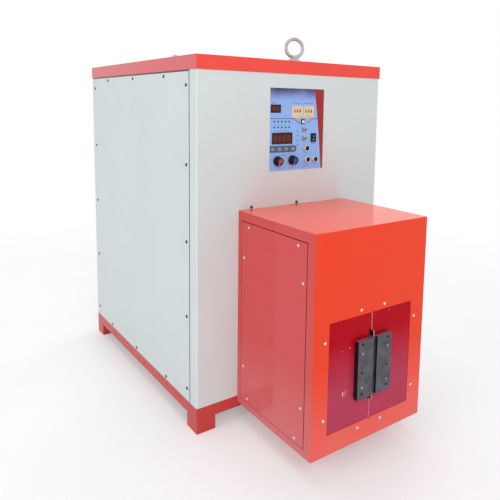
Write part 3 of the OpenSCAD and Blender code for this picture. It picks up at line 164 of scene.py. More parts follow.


# pale tones: a painted reflection of the floor, dust, the share of the painted fold highlight, and the shade
# of worn chips
dustWearAndPaintedLight = {"floorReflection": (0.95, 0.8, 0.88), "dust": (0.8, 0.76, 0.74), "foldHighlight": 0.6, "chip": 0.45}


# side is a tone painted on faces to the left and right: painted shade on the box and a painted reflection on
# the lid, low a painted reflection of the pale floor, paler towards the bottom, as (share, bottom, top), and
# the fold colour a painted highlight along folded front edges
def paint(name, color, rough, shine=0.5, dust=0.0, worn=0.0, cloud=0.02, side=None, low=None,
        foldHighlight=None):
    s = Shader(name, Specular_IOR_Level=shine)
    base = s.tones(s.noise(5, 4), tinted(color, 1 - cloud), tinted(color, 1 + cloud))
    facing = s.facing()
    # painted shade on the faces to the left and right, and a painted reflection on the lid's
    if side:
        base = s.mix(s.spread(s.math("ABSOLUTE", facing["X"]), 0, 1, 0.5, 0.9), base, side)
    # painted reflection of the pale floor, paler towards the bottom
    if low:
        share, bottom, top = low
        floorReflection = s.math("MULTIPLY", s.spread(s.axes()["Z"], share, 0, bottom, top),
            s.spread(s.noise(12, 4), 0.8, 1))
        base = s.mix(floorReflection, base, dustWearAndPaintedLight["floorReflection"])
    # painted highlight along the folded front edges
    if foldHighlight:
        base = s.mix(s.math("MULTIPLY", s.foldShare(facing), dustWearAndPaintedLight["foldHighlight"]), base, foldHighlight)
    if worn:
        chipped = s.spread(s.noise(70, 6, roughness=0.7), 0, 1, 0.66, 0.7)
        base = s.mix(s.math("MULTIPLY", chipped, worn), base, tinted(color, dustWearAndPaintedLight["chip"]))
    if dust:
        film = s.math("MULTIPLY", s.spread(facing["Z"], 0, dust, 0.5, 1),
            s.spread(s.noise(26, 6), 0.75, 1))
        base = s.mix(film, base, dustWearAndPaintedLight["dust"])
    gloss = s.spread(s.noise(30, 5), rough * 0.85, rough * 1.2)
    return s.finished(base, gloss, s.noise(90, 1), 0.2, 0.00001)


def metal(name, color, rough, stretch=(1, 1, 1), scale=400, depth=0.00004, stain=0.12, metallic=1.0):
    s = Shader(name, Metallic=metallic)
    grain = s.noise(scale, 4, s.stretched(stretch))
    base = s.tones(s.noise(22, 5, roughness=0.6), tinted(color, 1 - stain), tinted(color, 1 + stain / 2),
        0.35, 0.65)
    return s.finished(base, s.spread(grain, rough * 0.75, rough * 1.3), grain, 0.3, depth)


def plastic(name, color, rough, coat=0.0, mottle=0.06, shine=0.5):
    s = Shader(name, Coat_Weight=coat, Coat_Roughness=0.1, Specular_IOR_Level=shine)
    base = s.tones(s.noise(40, 4), tinted(color, 1 - mottle), tinted(color, 1 + mottle))
    gloss = s.spread(s.noise(120, 3), rough * 0.85, rough * 1.2)
    return s.finished(base, gloss, s.noise(900, 2), 0.4, 0.00003)


paints = {
    "cabinetPaint": dict(color=(0.655, 0.71, 0.7), rough=0.4, dust=0.1),
    # red paint: its side tone is painted shade, low a painted floor reflection, the fold colour a painted
    # highlight
    "redPaint": dict(color=(0.86, 0.05, 0.01), rough=0.09, shine=0.2, dust=0.12,
        side=(0.64, 0.076, 0.075), low=(0.15, 0.02, 0.34), foldHighlight=(1, 0.36, 0.3)),
    # lid paint: its side tone is a painted reflection, the fold colour a painted highlight
    "lidPaint": dict(color=(0.86, 0.074, 0.052), rough=0.16, shine=0.3, dust=0.1,
        side=(0.72, 0.125, 0.14), foldHighlight=(1, 0.34, 0.3)),
    "basePaint": dict(color=(0.56, 0.035, 0.03), rough=0.32, worn=0.5, cloud=0.06),
    # the frame's dark paint, kept this dark also as painted shade in the gap under the lid
    "framePaintAndShade": dict(color=(0.1, 0.105, 0.115), rough=0.5),
    # seam colours: painted shadow in the seams
    "seamShadowDark": dict(color=(0.022, 0.02, 0.024), rough=0.7, shine=0.2),
    "seamShadowRed": dict(color=(0.1, 0.001, 0.001), rough=0.7, shine=0.05),
}
# Colour, roughness and what else differs
metals = {
    "nickel": ((0.5, 0.48, 0.46), 0.22, {"stain": 0.2}),
    "plainSteel": ((0.6, 0.61, 0.63), 0.38, {"stretch": (1, 1, 24)}),
    "darkScrew": ((0.075, 0.075, 0.08), 0.32, {"metallic": 0.8}),
    "brightScrew": ((0.8, 0.77, 0.76), 0.22, {}),
    "dullScrew": ((0.4, 0.39, 0.4), 0.45, {"metallic": 0.8}),
    "forgedSteel": ((0.56, 0.57, 0.61), 0.24, {"scale": 240, "depth": 0.00008, "stain": 0.25}),
    "chrome": ((0.78, 0.78, 0.8), 0.12, {"stain": 0.05}),
    "core": ((0.1, 0.105, 0.12), 0.55, {"stretch": (1, 60, 1), "metallic": 0.5}),
    "copper": ((0.78, 0.36, 0.2), 0.3, {"stretch": (1, 1, 30)}),
    "aluminium": ((0.74, 0.75, 0.77), 0.34, {"stretch": (1, 1, 18)}),
    "brass": ((0.72, 0.5, 0.2), 0.28, {"stretch": (1, 14, 1)}),
}
plastics = {
    "chipOchre": ((0.86, 0.5, 0.2), 0.5, {"mottle": 0.3}),
    "stripFilm": ((0.055, 0.08, 0.13), 0.3, {"coat": 0.3}),
    "stripKey": ((0.17, 0.22, 0.3), 0.35, {}),
    "stripMark": ((0.42, 0.47, 0.52), 0.4, {}),
    "knobBlack": ((0.01, 0.01, 0.014), 0.34, {"shine": 0.2}),
    "capRed": ((0.44, 0.02, 0.045), 0.28, {"coat": 0.15}),
    "capBlue": ((0.014, 0.042, 0.42), 0.28, {"coat": 0.15}),
    "capBlack": ((0.012, 0.01, 0.011), 0.24, {"shine": 0.2}),
    "glossBlack": ((0.01, 0.01, 0.014), 0.2, {"shine": 0.3}),
    "resetWhite": ((0.8, 0.8, 0.77), 0.25, {"coat": 0.3}),
    "tan": ((0.78, 0.61, 0.42), 0.5, {}),
    "keyTan": ((0.8, 0.63, 0.44), 0.42, {}),
    "wheelBlack": ((0.03, 0.03, 0.03), 0.5, {}),
    "printWhite": ((0.85, 0.85, 0.83), 0.5, {}),
    "printDark": ((0.07, 0.1, 0.22), 0.5, {}),
    "printRed": ((0.32, 0.008, 0.012), 0.4, {}),
    "segment": ((0.2, 0.035, 0.03), 0.35, {}),
    "lampGreen": ((0.01, 0.11, 0.06), 0.15, {"coat": 0.3}),
    "lampRed": ((0.2, 0.012, 0.012), 0.15, {"coat": 0.3}),
    "boardGreen": ((0.02, 0.15, 0.05), 0.4, {"coat": 0.3, "mottle": 0.3}),
    "ivory": ((0.74, 0.7, 0.58), 0.45, {}),
    "contactor": ((0.05, 0.05, 0.055), 0.45, {}),
    "hose": ((0.03, 0.09, 0.35), 0.35, {"coat": 0.1}),
    "fanBlack": ((0.03, 0.03, 0.033), 0.4, {}),
}
looks = {name: paint(name, **settings) for name, settings in paints.items()}
for make, finishes in ((metal, metals), (plastic, plastics)):
    for name, (color, rough, more) in finishes.items():
        looks[name] = make(name, color, rough, **more)


# Places on the control panel, in millimetres from its opening's lower left corner
panelLap = 12 * mm  # how far the panel reaches behind the opening's edge
panelLow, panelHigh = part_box("control_panel")
openLow = panelLow + Vector((panelLap, 0, panelLap))
openHigh = panelHigh - Vector((panelLap, 0, panelLap))


def onPanel(x, z, out=0.0):
    return Vector((openLow.x + x * mm, panelLow.y - out * mm, openLow.z + z * mm))


def panelFrame(x, z, out=0.0):
    return Matrix.Translation(onPanel(x, z, out)) @ toFront


def panelSpots(places):
    return [(onPanel(x, z), front, sideways) for x, z in places]


# Finishes with a pattern of their own, with painted shadow on the panel, a painted floor reflection on the
# boards, and painted shade and light on the plates
# the stops from 0.9 up, darker towards the top, are the painted shadow of the opening's top edge
panelTonesAndShadow = [(0, (0.27, 0.46, 0.83)), (0.45, (0.29, 0.5, 0.9)), (0.84, (0.28, 0.45, 0.84)),
    (0.9, (0.2, 0.28, 0.57)), (0.95, (0.13, 0.135, 0.3)), (1, (0.035, 0.03, 0.09))]
# the boards' deep and bright tones, and a painted reflection of the pale floor, paler towards the bottom
boardTonesAndFloorReflection = {"deep": (0.42, 0.0, 0.004), "bright": (0.48, 0.001, 0.012), "floorReflection": (0.75, 0.45, 0.85),
    "floorReflectionShare": 0.11, "floorReflectionFrom": 0.35, "floorReflectionTo": 0.75, "weave": 5200}
# the side colour is painted shade on the plates' side faces, the top colour painted light on their top faces,
# the fold colour a painted highlight on their edges
plateTonesAndPaintedLight = {"deep": (0.06, 0.057, 0.068), "bright": (0.135, 0.128, 0.152),
    "side": (0.012, 0.012, 0.016), "top": (0.4, 0.39, 0.44), "foldHighlight": (0.42, 0.43, 0.5)}


def redWindow():
    s = Shader("redWindow", Specular_IOR_Level=0.2)
    base = s.tones(s.noise(60, 3), (0.06, 0.008, 0.005), (0.09, 0.013, 0.008))
    return s.finished(base, 0.12, s.noise(90, 1), 0.1, 0.00004)


def panelPaint():
    s = Shader("panelPaint", Specular_IOR_Level=0.4)
    height = s.spread(s.axes()["Z"], 0, 1, openLow.z, openHigh.z)
    height = s.math("ADD", height, s.spread(s.noise(14, 3), -0.03, 0.03))
    gloss = s.spread(s.noise(60, 4), 0.34, 0.48)
    return s.finished(s.ramp(height, panelTonesAndShadow), gloss, s.noise(1400, 2), 0.3, 0.00003)


def crimsonBoard():
    s = Shader("crimsonBoard", Specular_IOR_Level=0.06)
    place = s.axes()
    waves = [s.math("SINE", s.math("MULTIPLY", place[axis], boardTonesAndFloorReflection["weave"])) for axis in "XZ"]
    base = s.tones(s.noise(9, 5, roughness=0.6), boardTonesAndFloorReflection["deep"], boardTonesAndFloorReflection["bright"])
    low, high = (corner.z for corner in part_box("insulating_panels"))
    start, end = (low + (high - low) * boardTonesAndFloorReflection[key] for key in ("floorReflectionFrom", "floorReflectionTo"))
    # painted reflection of the pale floor, paler towards the bottom
    floorReflection = s.spread(place["Z"], boardTonesAndFloorReflection["floorReflectionShare"], 0, start, end)
    base = s.mix(floorReflection, base, boardTonesAndFloorReflection["floorReflection"])
    gloss = s.spread(s.noise(50, 4), 0.16, 0.26)
    return s.finished(base, gloss, s.math("MULTIPLY", *waves), 0.06, 0.00001)


def plateMetal():
    s = Shader("plateMetal", Metallic=0.75)
    brushed = s.noise(260, 4, s.stretched((24, 1, 1)))
    base = s.tones(s.noise(28, 5, roughness=0.65), plateTonesAndPaintedLight["deep"], plateTonesAndPaintedLight["bright"])
    facing = s.facing()
    # painted shade on the side faces, painted light on the top faces and a painted highlight along the edges
    base = s.mix(s.spread(s.math("ABSOLUTE", facing["X"]), 0, 0.85, 0.7, 0.98), base, plateTonesAndPaintedLight["side"])
    base = s.mix(s.spread(facing["Z"], 0, 0.85, 0.6, 0.98), base, plateTonesAndPaintedLight["top"])
    base = s.mix(s.math("MULTIPLY", s.foldShare(facing), 0.75), base, plateTonesAndPaintedLight["foldHighlight"])
    return s.finished(base, s.spread(brushed, 0.28, 0.46), brushed, 0.25, 0.00004)


def creamFilm():
    s = Shader("creamFilm")
    layers = s.noise(700, 2, s.stretched((8, 0.2, 0.2)))
    base = s.tones(layers, (0.34, 0.31, 0.27), (0.5, 0.47, 0.41))
    return s.finished(base, s.spread(s.noise(90, 3), 0.4, 0.6), layers, 0.3, 0.0001)


for make in (redWindow, panelPaint, crimsonBoard, plateMetal, creamFilm):
    looks[make.__name__] = make()
print("materials", len(looks))


# Pieces
def keep(piece, body="machine", replaced=()):
    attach(piece, body)
    if replaced:
        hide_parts(*replaced)
    return piece


def linked(name, data, material=None):
    piece = bpy.data.objects.new(name, data)
    bpy.context.scene.collection.objects.link(piece)
    if material:
        data.materials.append(looks[material])
    return piece


def smoothMesh(name, bm, angle):
    mesh = bpy.data.meshes.new(name)
    bmesh.ops.recalc_face_normals(bm, faces=bm.faces)
    bm.to_mesh(mesh)
    bm.free()
    mesh.shade_smooth()
    mesh.set_sharp_from_angle(angle=math.radians(angle))
    return mesh


def fromBmesh(name, bm, material, angle=35):
    return linked(name, smoothMesh(name, bm, angle), material)


# A CAD node's own shape with its edges rounded, which stands in the node's place
def roundedCopy(name, node, material, width, segments=2, body="machine"):
    bm = bmesh.new()
    bm.from_mesh(nodes[node].data)
    bmesh.ops.remove_doubles(bm, verts=bm.verts, dist=weld)
    bmesh.ops.dissolve_limit(bm, angle_limit=math.radians(0.5), verts=bm.verts, edges=bm.edges)
    mesh = bpy.data.meshes.new(name)
    bm.to_mesh(mesh)
    bm.free()
    mesh.shade_smooth()
    piece = linked(name, mesh, material)
    bevel = piece.modifiers.new("edges", "BEVEL")
    bevel.width, bevel.segments = width * mm, segments
    bevel.limit_method, bevel.angle_limit = "ANGLE", math.radians(40)
    piece.modifiers.new("normals", "WEIGHTED_NORMAL").keep_sharp = True
    return keep(piece, body, [node])


# CAD nodes whose shape is right only get a better material
dressed = {
    "cabinetPaint": "front_panel left_side_panel right_side_panel rear_panel",
    "framePaintAndShade": "cabinet_frame",
    "basePaint": "base_frame",
    "lidPaint": "top_lid",
    "redPaint": "box_shell left_box_cover right_box_cover",
    "panelPaint": "control_panel",
    "crimsonBoard": "insulating_panels",
    "creamFilm": "insulating_sheet",
    "plateMetal": "left_output_plate right_output_plate",
    "plainSteel": "floor_plate potentiometers mounting_plate",
    "darkScrew": "panel_screws",
    "brightScrew": "box_screws output_screws",
    "forgedSteel": "lifting_eyebolts",
    "glossBlack": "displays rocker_housing power_rocker",
    "lampGreen": "indicator_lamps",
    "printDark": "key_strip",
    "knobBlack": "left_knob right_knob",
    "chrome": "toggle_switches upper_toggle lower_toggle button_bezels fan_guard",
    "capBlack": "upper_button lower_left_button lower_right_button",
    "resetWhite": "reset_button",
    "tan": "setting_switches",
    "keyTan": "setting_keys",
    "wheelBlack": " ".join(f"number_wheel_{k + 1}" for k in range(6)),
    "boardGreen": "control_board",
    "core": "transformer_core filter_choke",
    "copper": "primary_coil",
    "aluminium": "tank_capacitors cold_plate dc_capacitors",
    "ivory": "power_modules",
    "contactor": "main_contactor",
    "hose": "water_hoses",
    "fanBlack": "fan_frame fan_rotor cable_gland",
    "brass": "water_fittings",
}
for material, group in dressed.items():
    for node in group.split():
        nodes[node].data.materials.clear()
        nodes[node].data.materials.append(looks[material])


# Sheet metal with folded edges: node, material, slot, fold in millimetres and its segments
sheets = {
    "lid": ("top_lid", "lidPaint", "red_paint", 2.2, 3),
    "boxBody": ("box_shell", "redPaint", "red_paint", 1.8, 3),
    "leftCover": ("left_box_cover", "redPaint", "red_paint", 0.5, 2),
    "rightCover": ("right_box_cover", "redPaint", "red_paint", 0.5, 2),
    "baseRing": ("base_frame", "basePaint", "base_paint", 2.2, 3),
    "leftPlate": ("left_output_plate", "plateMetal", "plate_dark", 1.1, 3),
    "rightPlate": ("right_output_plate", "plateMetal", "plate_dark", 1.1, 3),
}
for name, (node, material, slotName, width, segments) in sheets.items():
    roundedCopy(name, node, material, width, segments)
print("sheets")


# Screws: a domed head with a cross recess, set on every screw of a CAD node
headLines = (-1, -0.86, -0.72, -0.6, -0.4, -0.2, -0.14, 0, 0.14, 0.2, 0.4, 0.6, 0.72, 0.86, 1)
headShape = {"rim": 0.35, "recessHalf": 0.17, "recessReach": 0.63, "recessDepth": 0.3, "sharp": 38}


def headMesh(name, radius, height):
    bm = bmesh.new()
    rows = []
    for v in headLines:
        row = []
        for u in headLines:
            x, y = u * math.sqrt(1 - v * v / 2), v * math.sqrt(1 - u * u / 2)
            z = headShape["rim"] + (1 - headShape["rim"]) * math.sqrt(max(0, 1 - (x * x + y * y)))
            near, far = sorted((abs(x), abs(y)))
            if near < headShape["recessHalf"] and far < headShape["recessReach"]:
                z -= headShape["recessDepth"]
            row.append(bm.verts.new((x * radius, y * radius, z * height)))
        rows.append(row)
    for lower, higher in zip(rows, rows[1:]):
        for i in range(len(lower) - 1):
            bm.faces.new((lower[i], lower[i + 1], higher[i + 1], higher[i]))
    rim = bmesh.ops.extrude_edge_only(bm, edges=[e for e in bm.edges if e.is_boundary])
    for element in rim["geom"]:
        if isinstance(element, bmesh.types.BMVert):
            element.co.z = 0
    bmesh.ops.holes_fill(bm, edges=[e for e in bm.edges if e.is_boundary])
    return bpy.data.objects.new(name, smoothMesh(name, bm, headShape["sharp"]))


# Base point, outward direction, radius and height of each screw head in a CAD node
def screwPlaces(node):
    bm = bmesh.new()
    bm.from_mesh(nodes[node].data)
    bmesh.ops.remove_doubles(bm, verts=bm.verts, dist=weld)
    left = set(bm.verts)
    places = []
    while left:
        island, edge = set(), [left.pop()]
        while edge:
            vert = edge.pop()
            island.add(vert)
            for link in vert.link_edges:
                other = link.other_vert(vert)
                if other in left:
                    left.discard(other)
                    edge.append(other)
        low = Vector([min(v.co[k] for v in island) for k in range(3)])
        high = Vector([max(v.co[k] for v in island) for k in range(3)])
        size = high - low
        axis = max(range(3), key=lambda k: size[k])
        across = (axis + 1) % 3
        centre = (low + high) / 2
        radius = size[across] / 2
        rim = [v.co[axis] for v in island if abs(v.co[across] - centre[across]) > radius * 0.98]
        sign = 1 if sum(rim) / len(rim) > centre[axis] else -1
        seat = min(rim) if sign > 0 else max(rim)
        base, facing = centre.copy(), Vector((0, 0, 0))
        base[axis], facing[axis] = seat, sign
        tip = high[axis] if sign > 0 else low[axis]
        places.append((base, facing, radius, abs(tip - seat)))
    bm.free()
    return sorted(places, key=lambda p: tuple(round(c, 5) for c in p[0]))


# The finished mesh of an object that is only a helper
def realMesh(holder):
    bpy.context.scene.collection.objects.link(holder)
    bpy.context.view_layer.update()
    graph = bpy.context.evaluated_depsgraph_get()
    mesh = bpy.data.meshes.new_from_object(holder.evaluated_get(graph), depsgraph=graph)
    bpy.data.objects.remove(holder)
    return mesh


# Geometry Nodes tree that sets a piece on every point, turned by two directions
def scatterTree():
    tree = bpy.data.node_groups.new("scatter", "GeometryNodeTree")
    add = tree.nodes.new
    sockets = {}
    for name, kind in (("Places", "Geometry"), ("Piece", "Object"), ("Finish", "Material")):
        sockets[name] = tree.interface.new_socket(name, in_out="INPUT", socket_type="NodeSocket" + kind)
    tree.interface.new_socket("Result", in_out="OUTPUT", socket_type="NodeSocketGeometry")
    start = add("NodeGroupInput").outputs
    turn = add("FunctionNodeAxesToRotation")
    turn.primary_axis, turn.secondary_axis = "Z", "X"
    for attribute, axis in (("facing", "Primary Axis"), ("slot", "Secondary Axis")):
        stored = add("GeometryNodeInputNamedAttribute")
        stored.data_type = "FLOAT_VECTOR"
        fill(turn, {axis: fill(stored, {"Name": attribute})["Attribute"]})
    piece = fill(add("GeometryNodeObjectInfo"), {"Object": start["Piece"]})
    copies = fill(add("GeometryNodeInstanceOnPoints"), {"Points": start["Places"],
        "Instance": piece["Geometry"], "Rotation": turn.outputs["Rotation"]})
    real = fill(add("GeometryNodeRealizeInstances"), {"Geometry": copies["Instances"]})
    coat = fill(add("GeometryNodeSetMaterial"), {"Geometry": real["Geometry"],
        "Material": start["Finish"]})
    fill(add("NodeGroupOutput"), {"Result": coat["Geometry"]})
    return tree, {name: socket.identifier for name, socket in sockets.items()}


scatter, scatterSockets = scatterTree()


# Copies of a piece at places of (point, facing, slot direction), as one mesh; the piece is used up
def scattered(name, places, piece, material):
    mesh = bpy.data.meshes.new(name)
    mesh.from_pydata([tuple(place[0]) for place in places], [], [])
    for key, index in (("facing", 1), ("slot", 2)):
        values = mesh.attributes.new(key, "FLOAT_VECTOR", "POINT")
        values.data.foreach_set("vector", [c for place in places for c in place[index]])
    holder = bpy.data.objects.new(name, mesh)
    modifier = holder.modifiers.new("scatter", "NODES")
    modifier.node_group = scatter
    modifier[scatterSockets["Piece"]] = piece
    modifier[scatterSockets["Finish"]] = looks[material]
    real = realMesh(holder)
    real.name = name
    bpy.data.objects.remove(piece)
    return linked(name, real)


def crossways(facing, angle):
    side = facing.orthogonal().normalized()
    return Matrix.Rotation(angle, 3, facing) @ side


screwSets = {
    "panelScrews": ("panel_screws", "darkScrew", "dark_screws"),
    "boxScrews": ("box_screws", "brightScrew", "bright_screws"),
    "plateScrews": ("output_screws", "dullScrew", "bright_screws"),
}
for name, (node, material, slotName) in screwSets.items():
    screws = screwPlaces(node)
    dice = random.Random(name)
    head = headMesh(name + "Head", screws[0][2], screws[0][3])
    turned = [(base, facing, crossways(facing, dice.uniform(0, math.pi / 2)))
        for base, facing, radius, height in screws]
    keep(scattered(name, turned, head, material), replaced=[node])
print("screws")


# Turns a profile of (radius, height) about +Z; ripple(radius, height, angle) moves the radius
def lathe(bm, profile, segments, place=None, ripple=None):
    rings = []
    for radius, height in profile:
        if radius <= 0:
            rings.append([bm.verts.new((0, 0, height))])
            continue
        ring = []
        for i in range(segments):
            angle = 2 * math.pi * i / segments
            r = ripple(radius, height, angle) if ripple else radius
            ring.append(bm.verts.new((r * math.cos(angle), r * math.sin(angle), height)))
        rings.append(ring)
    closing = rings[:1] if profile[0][0] > 0 else []
    for lower, higher in zip(rings, rings[1:] + closing):
        for i in range(segments):
            j = (i + 1) % segments
            if len(lower) == 1:
                bm.faces.new((lower[0], higher[i], higher[j]))
            elif len(higher) == 1:
                bm.faces.new((lower[i], lower[j], higher[0]))
            else:
                bm.faces.new((lower[i], lower[j], higher[j], higher[i]))
    if place:
        bmesh.ops.transform(bm, matrix=place, verts=[v for ring in rings for v in ring])


def scaled(points):
    return [tuple(c * mm for c in point) for point in points]


# A plate with the given outline between two heights, all in metres
def prism(bm, outline, low, high, place=None):
    bottom = [bm.verts.new((x, y, low)) for x, y in outline]
    top = [bm.verts.new((x, y, high)) for x, y in outline]
    count = len(outline)
    bm.faces.new(list(reversed(bottom)))
    bm.faces.new(top)
    for i in range(count):
        j = (i + 1) % count
        bm.faces.new((bottom[i], bottom[j], top[j], top[i]))
    if place:
        bmesh.ops.transform(bm, matrix=place, verts=bottom + top)


# Outline of a straight stroke
def bar(start, end, width):
    a, b = Vector(start), Vector(end)
    side = (b - a).normalized().orthogonal() * width / 2
    return [tuple(a - side), tuple(b - side), tuple(b + side), tuple(a + side)]


def shifted(points, x, y):
    return [(px + x, py + y) for px, py in points]


# Points of an arc from one angle to another, by steps of degrees
def arc(radius, begin, end, step):
    angles = [math.radians(a) for a in range(begin, end + 1, step)]
    return [(radius * math.cos(a), radius * math.sin(a)) for a in angles]


# Outline of a rectangle with round corners, about its middle
def rounded(width, height, radius, step=15):
    points = []
    for x, y, begin in ((1, 1, 0), (-1, 1, 90), (-1, -1, 180), (1, -1, 270)):
        corner = arc(radius, begin, begin + 90, step)
        points += shifted(corner, x * (width / 2 - radius), y * (height / 2 - radius))
    return points


# A closed frame through outlines at heights
def frameRing(bm, place, levels):
    rings = [[bm.verts.new(place @ Vector((px * mm, py * mm, level * mm))) for px, py in outline]
        for outline, level in levels]
    for a, b in zip(rings, rings[1:] + rings[:1]):
        for i in range(len(a)):
            j = (i + 1) % len(a)
            bm.faces.new((a[i], a[j], b[j], b[i]))


inkHeight = 0.08
panelZero = panelFrame(0, 0)


def printed(name, outlines, material, low=0.0, high=inkHeight, body="machine", place=panelZero,
        slotName="panel_paint"):
    bm = bmesh.new()
    for outline in outlines:
        prism(bm, scaled(outline), low * mm, high * mm, place)
    return keep(fromBmesh(name, bm, material), body)


# A turned piece from a profile in millimetres
def turnedPiece(name, profile, segments, material, place=None, ripple=None):
    bm = bmesh.new()
    lathe(bm, scaled(profile), segments, place, ripple)
    return fromBmesh(name, bm, material)


# Printed marks of the panel; captions are (left, right, level, height)
marks = {
    "band": [(197, 287), (240, 287), (240, 0), (233, 0), (226, 70), (214, 170)],
    "divider": [((0, 182), (101, 182)), ((101, 182.4), (134.5, 163)),
        ((166, 165.5), (189, 181.6)), ((189, 181), (213, 181))],
    "dividerWidth": 2.6,
    "captions": [(117, 129, z, 2.6) for z in (137, 121, 105, 89)]
        + [(17 + 16 * i, 24 + 16 * i, 162, 1.6) for i in range(5)]
        + [(52, 74, 55, 2.4), (95, 138, 236, 2), (148, 190, 236, 2), (8, 28, 235, 2),
            (186, 204, 91.5, 2), (20, 84, 139, 1.6), (150, 176, 12, 1.8)],
    "strokes": (2.4, 1.6, 3.1, 1.9, 2.7, 1.4),
    "strokeGap": 0.9,
}


# Short strokes in a row, which stand for a caption and spell nothing
def captionStrokes(left, right, level, height):
    rows = []
    while left < right:
        width = marks["strokes"][len(rows) % len(marks["strokes"])]
        rows.append(bar((left, level), (min(right, left + width), level), height))
        left += width + marks["strokeGap"]
    return rows


printed("redBand", [marks["band"]], "printRed")
printed("dividerLine", [bar(a, b, marks["dividerWidth"]) for a, b in marks["divider"]], "printDark")
printed("captions", [row for caption in marks["captions"] for row in captionStrokes(*caption)],
    "printDark")


# Knobs: fluted bodies, coloured caps and pointers, and the ticks round them
knobs = {"left_knob": (34.56, 35.01, "capRed"), "right_knob": (99.6, 35.87, "capBlue")}
knobSizes = {"skirt": 17, "body": 14.3, "height": 21, "air": 0.6, "cap": 8.6, "flutes": 20,
    "fluteDepth": 0.55, "pointer": 1.6}
dial = {"inner": 18.6, "outer": 21.4, "width": 0.8, "count": 11, "begin": -150, "sweep": 300}


def makeTicks():
    tick = bmesh.new()
    outline = bar((dial["inner"], 0), (dial["outer"], 0), dial["width"])
    prism(tick, scaled(outline), 0, inkHeight * mm)
    places = []
    for x, z, cap in knobs.values():
        for k in range(dial["count"]):
            angle = math.radians(dial["begin"] + dial["sweep"] * k / (dial["count"] - 1))
            places.append((onPanel(x, z), front, Vector((math.sin(angle), 0, math.cos(angle)))))
    piece = scattered("dialTicks", places, fromBmesh("tick", tick, "printDark"), "printDark")
    keep(piece)


def makeKnob(node, x, z, capMaterial):
    place = panelFrame(x, z)
    skirt, body, cap, low = (knobSizes[key] for key in ("skirt", "body", "cap", "air"))
    top = low + knobSizes["height"]
    profile = [(0, low), (skirt - 0.6, low), (skirt, low + 0.6), (skirt, low + 2.8),
        (skirt - 0.8, low + 3.8), (body + 0.2, low + 4.4), (body, low + 5.4),
        (body - 0.5, top - 1.6), (body - 1.1, top - 0.5), (body - 2.2, top),
        (cap + 0.5, top), (cap + 0.2, top - 0.4), (0, top - 0.4)]
    capProfile = [(0, top - 1), (cap, top - 1), (cap, top + 0.1), (cap - 0.5, top + 0.5),
        (cap * 0.5, top + 0.45), (0, top + 0.35)]

    def flute(radius, height, angle):
        if low + 4.6 <= height / mm <= top - 0.2 and radius > cap * 1.2 * mm:
            wave = max(0, math.cos(angle * knobSizes["flutes"])) ** 2
            return radius - knobSizes["fluteDepth"] * mm * wave
        return radius

    keep(turnedPiece(node + "Body", profile, 160, "knobBlack", place, flute), node, [node])
    keep(turnedPiece(node + "Cap", capProfile, 64, capMaterial, place), node)
    zero = math.radians(dial["begin"])
    way = Vector((math.sin(zero), math.cos(zero)))
    stroke = bar(way * (cap + 0.8), way * (body - 1.6), knobSizes["pointer"])
    printed(node + "Pointer", [stroke], "printWhite", top - 0.5, top + 0.12, node, place, "knob_black")


makeTicks()
for node, (x, z, cap) in knobs.items():
    makeKnob(node, x, z, cap)
print("knobs")


# Displays with a frame, a dark red window and unlit segments: x, z, width, height, digits
displays = {"small": (24.96, 216.1, 40, 25, 2), "large": (54.48, 113.4, 85, 37, 4)}
displayFrame = {"edge": 3, "rim": 3.4, "margin": 8, "digitWidth": 0.5, "digitHeight": 0.48,
    "stroke": 0.1, "windowLow": -0.5, "windowHigh": 0.35, "inkLow": 0.3, "inkHigh": 0.42}


def digitStrokes(x, y, width, height, stroke):
    left, right, top, middle, bottom = x - width / 2, x + width / 2, y + height / 2, y, y - height / 2
    gap = stroke * 0.6
    flat = [bar((left + gap, level), (right - gap, level), stroke) for level in (top, middle, bottom)]
    tall = [bar((side, low + gap), (side, low + height / 2 - gap), stroke)
        for side in (left, right) for low in (bottom, middle)]
    return flat + tall


def makeDisplays():
    frames, windows, digits = bmesh.new(), bmesh.new(), []
    edge, rim = displayFrame["edge"], displayFrame["rim"]
    for x, z, width, height, count in displays.values():
        steps = [(edge, 1.2, 0), (edge, 1.2, 1.2), (edge - 0.8, 0.9, 1.5),
            (edge + 0.6 - 2 * rim, 1, 1.5), (edge - 2 * rim, 0.8, 1.2), (edge - 2 * rim, 0.8, 0.2)]
        levels = [(rounded(width + grow, height + grow, radius), level) for grow, radius, level in steps]
        frameRing(frames, panelFrame(x, z), levels)
        prism(windows, scaled(levels[-1][0]), displayFrame["windowLow"] * mm,
            displayFrame["windowHigh"] * mm, panelFrame(x, z))
        pitch = (width - displayFrame["margin"]) / count
        sizes = (pitch * displayFrame["digitWidth"], height * displayFrame["digitHeight"],
            pitch * displayFrame["stroke"])
        for i in range(count):
            digits += digitStrokes(x + (i - (count - 1) / 2) * pitch, z, *sizes)
    keep(fromBmesh("displayFrames", frames, "glossBlack"), replaced=["displays"])
    keep(fromBmesh("displayWindows", windows, "redWindow"))
    printed("displayDigits", digits, "segment", displayFrame["inkLow"], displayFrame["inkHigh"],
        slotName="display_window")


makeDisplays()


# Indicator lamps: a lens in a thin ring, copied to every place
lampSizes = {"x": 19.92, "z": 152.11, "pitch": 16, "rowPitch": 19.5, "count": 5, "red": 2,
    "lens": 2.5, "ring": 3.3, "collar": 0.3, "rise": 2.1}


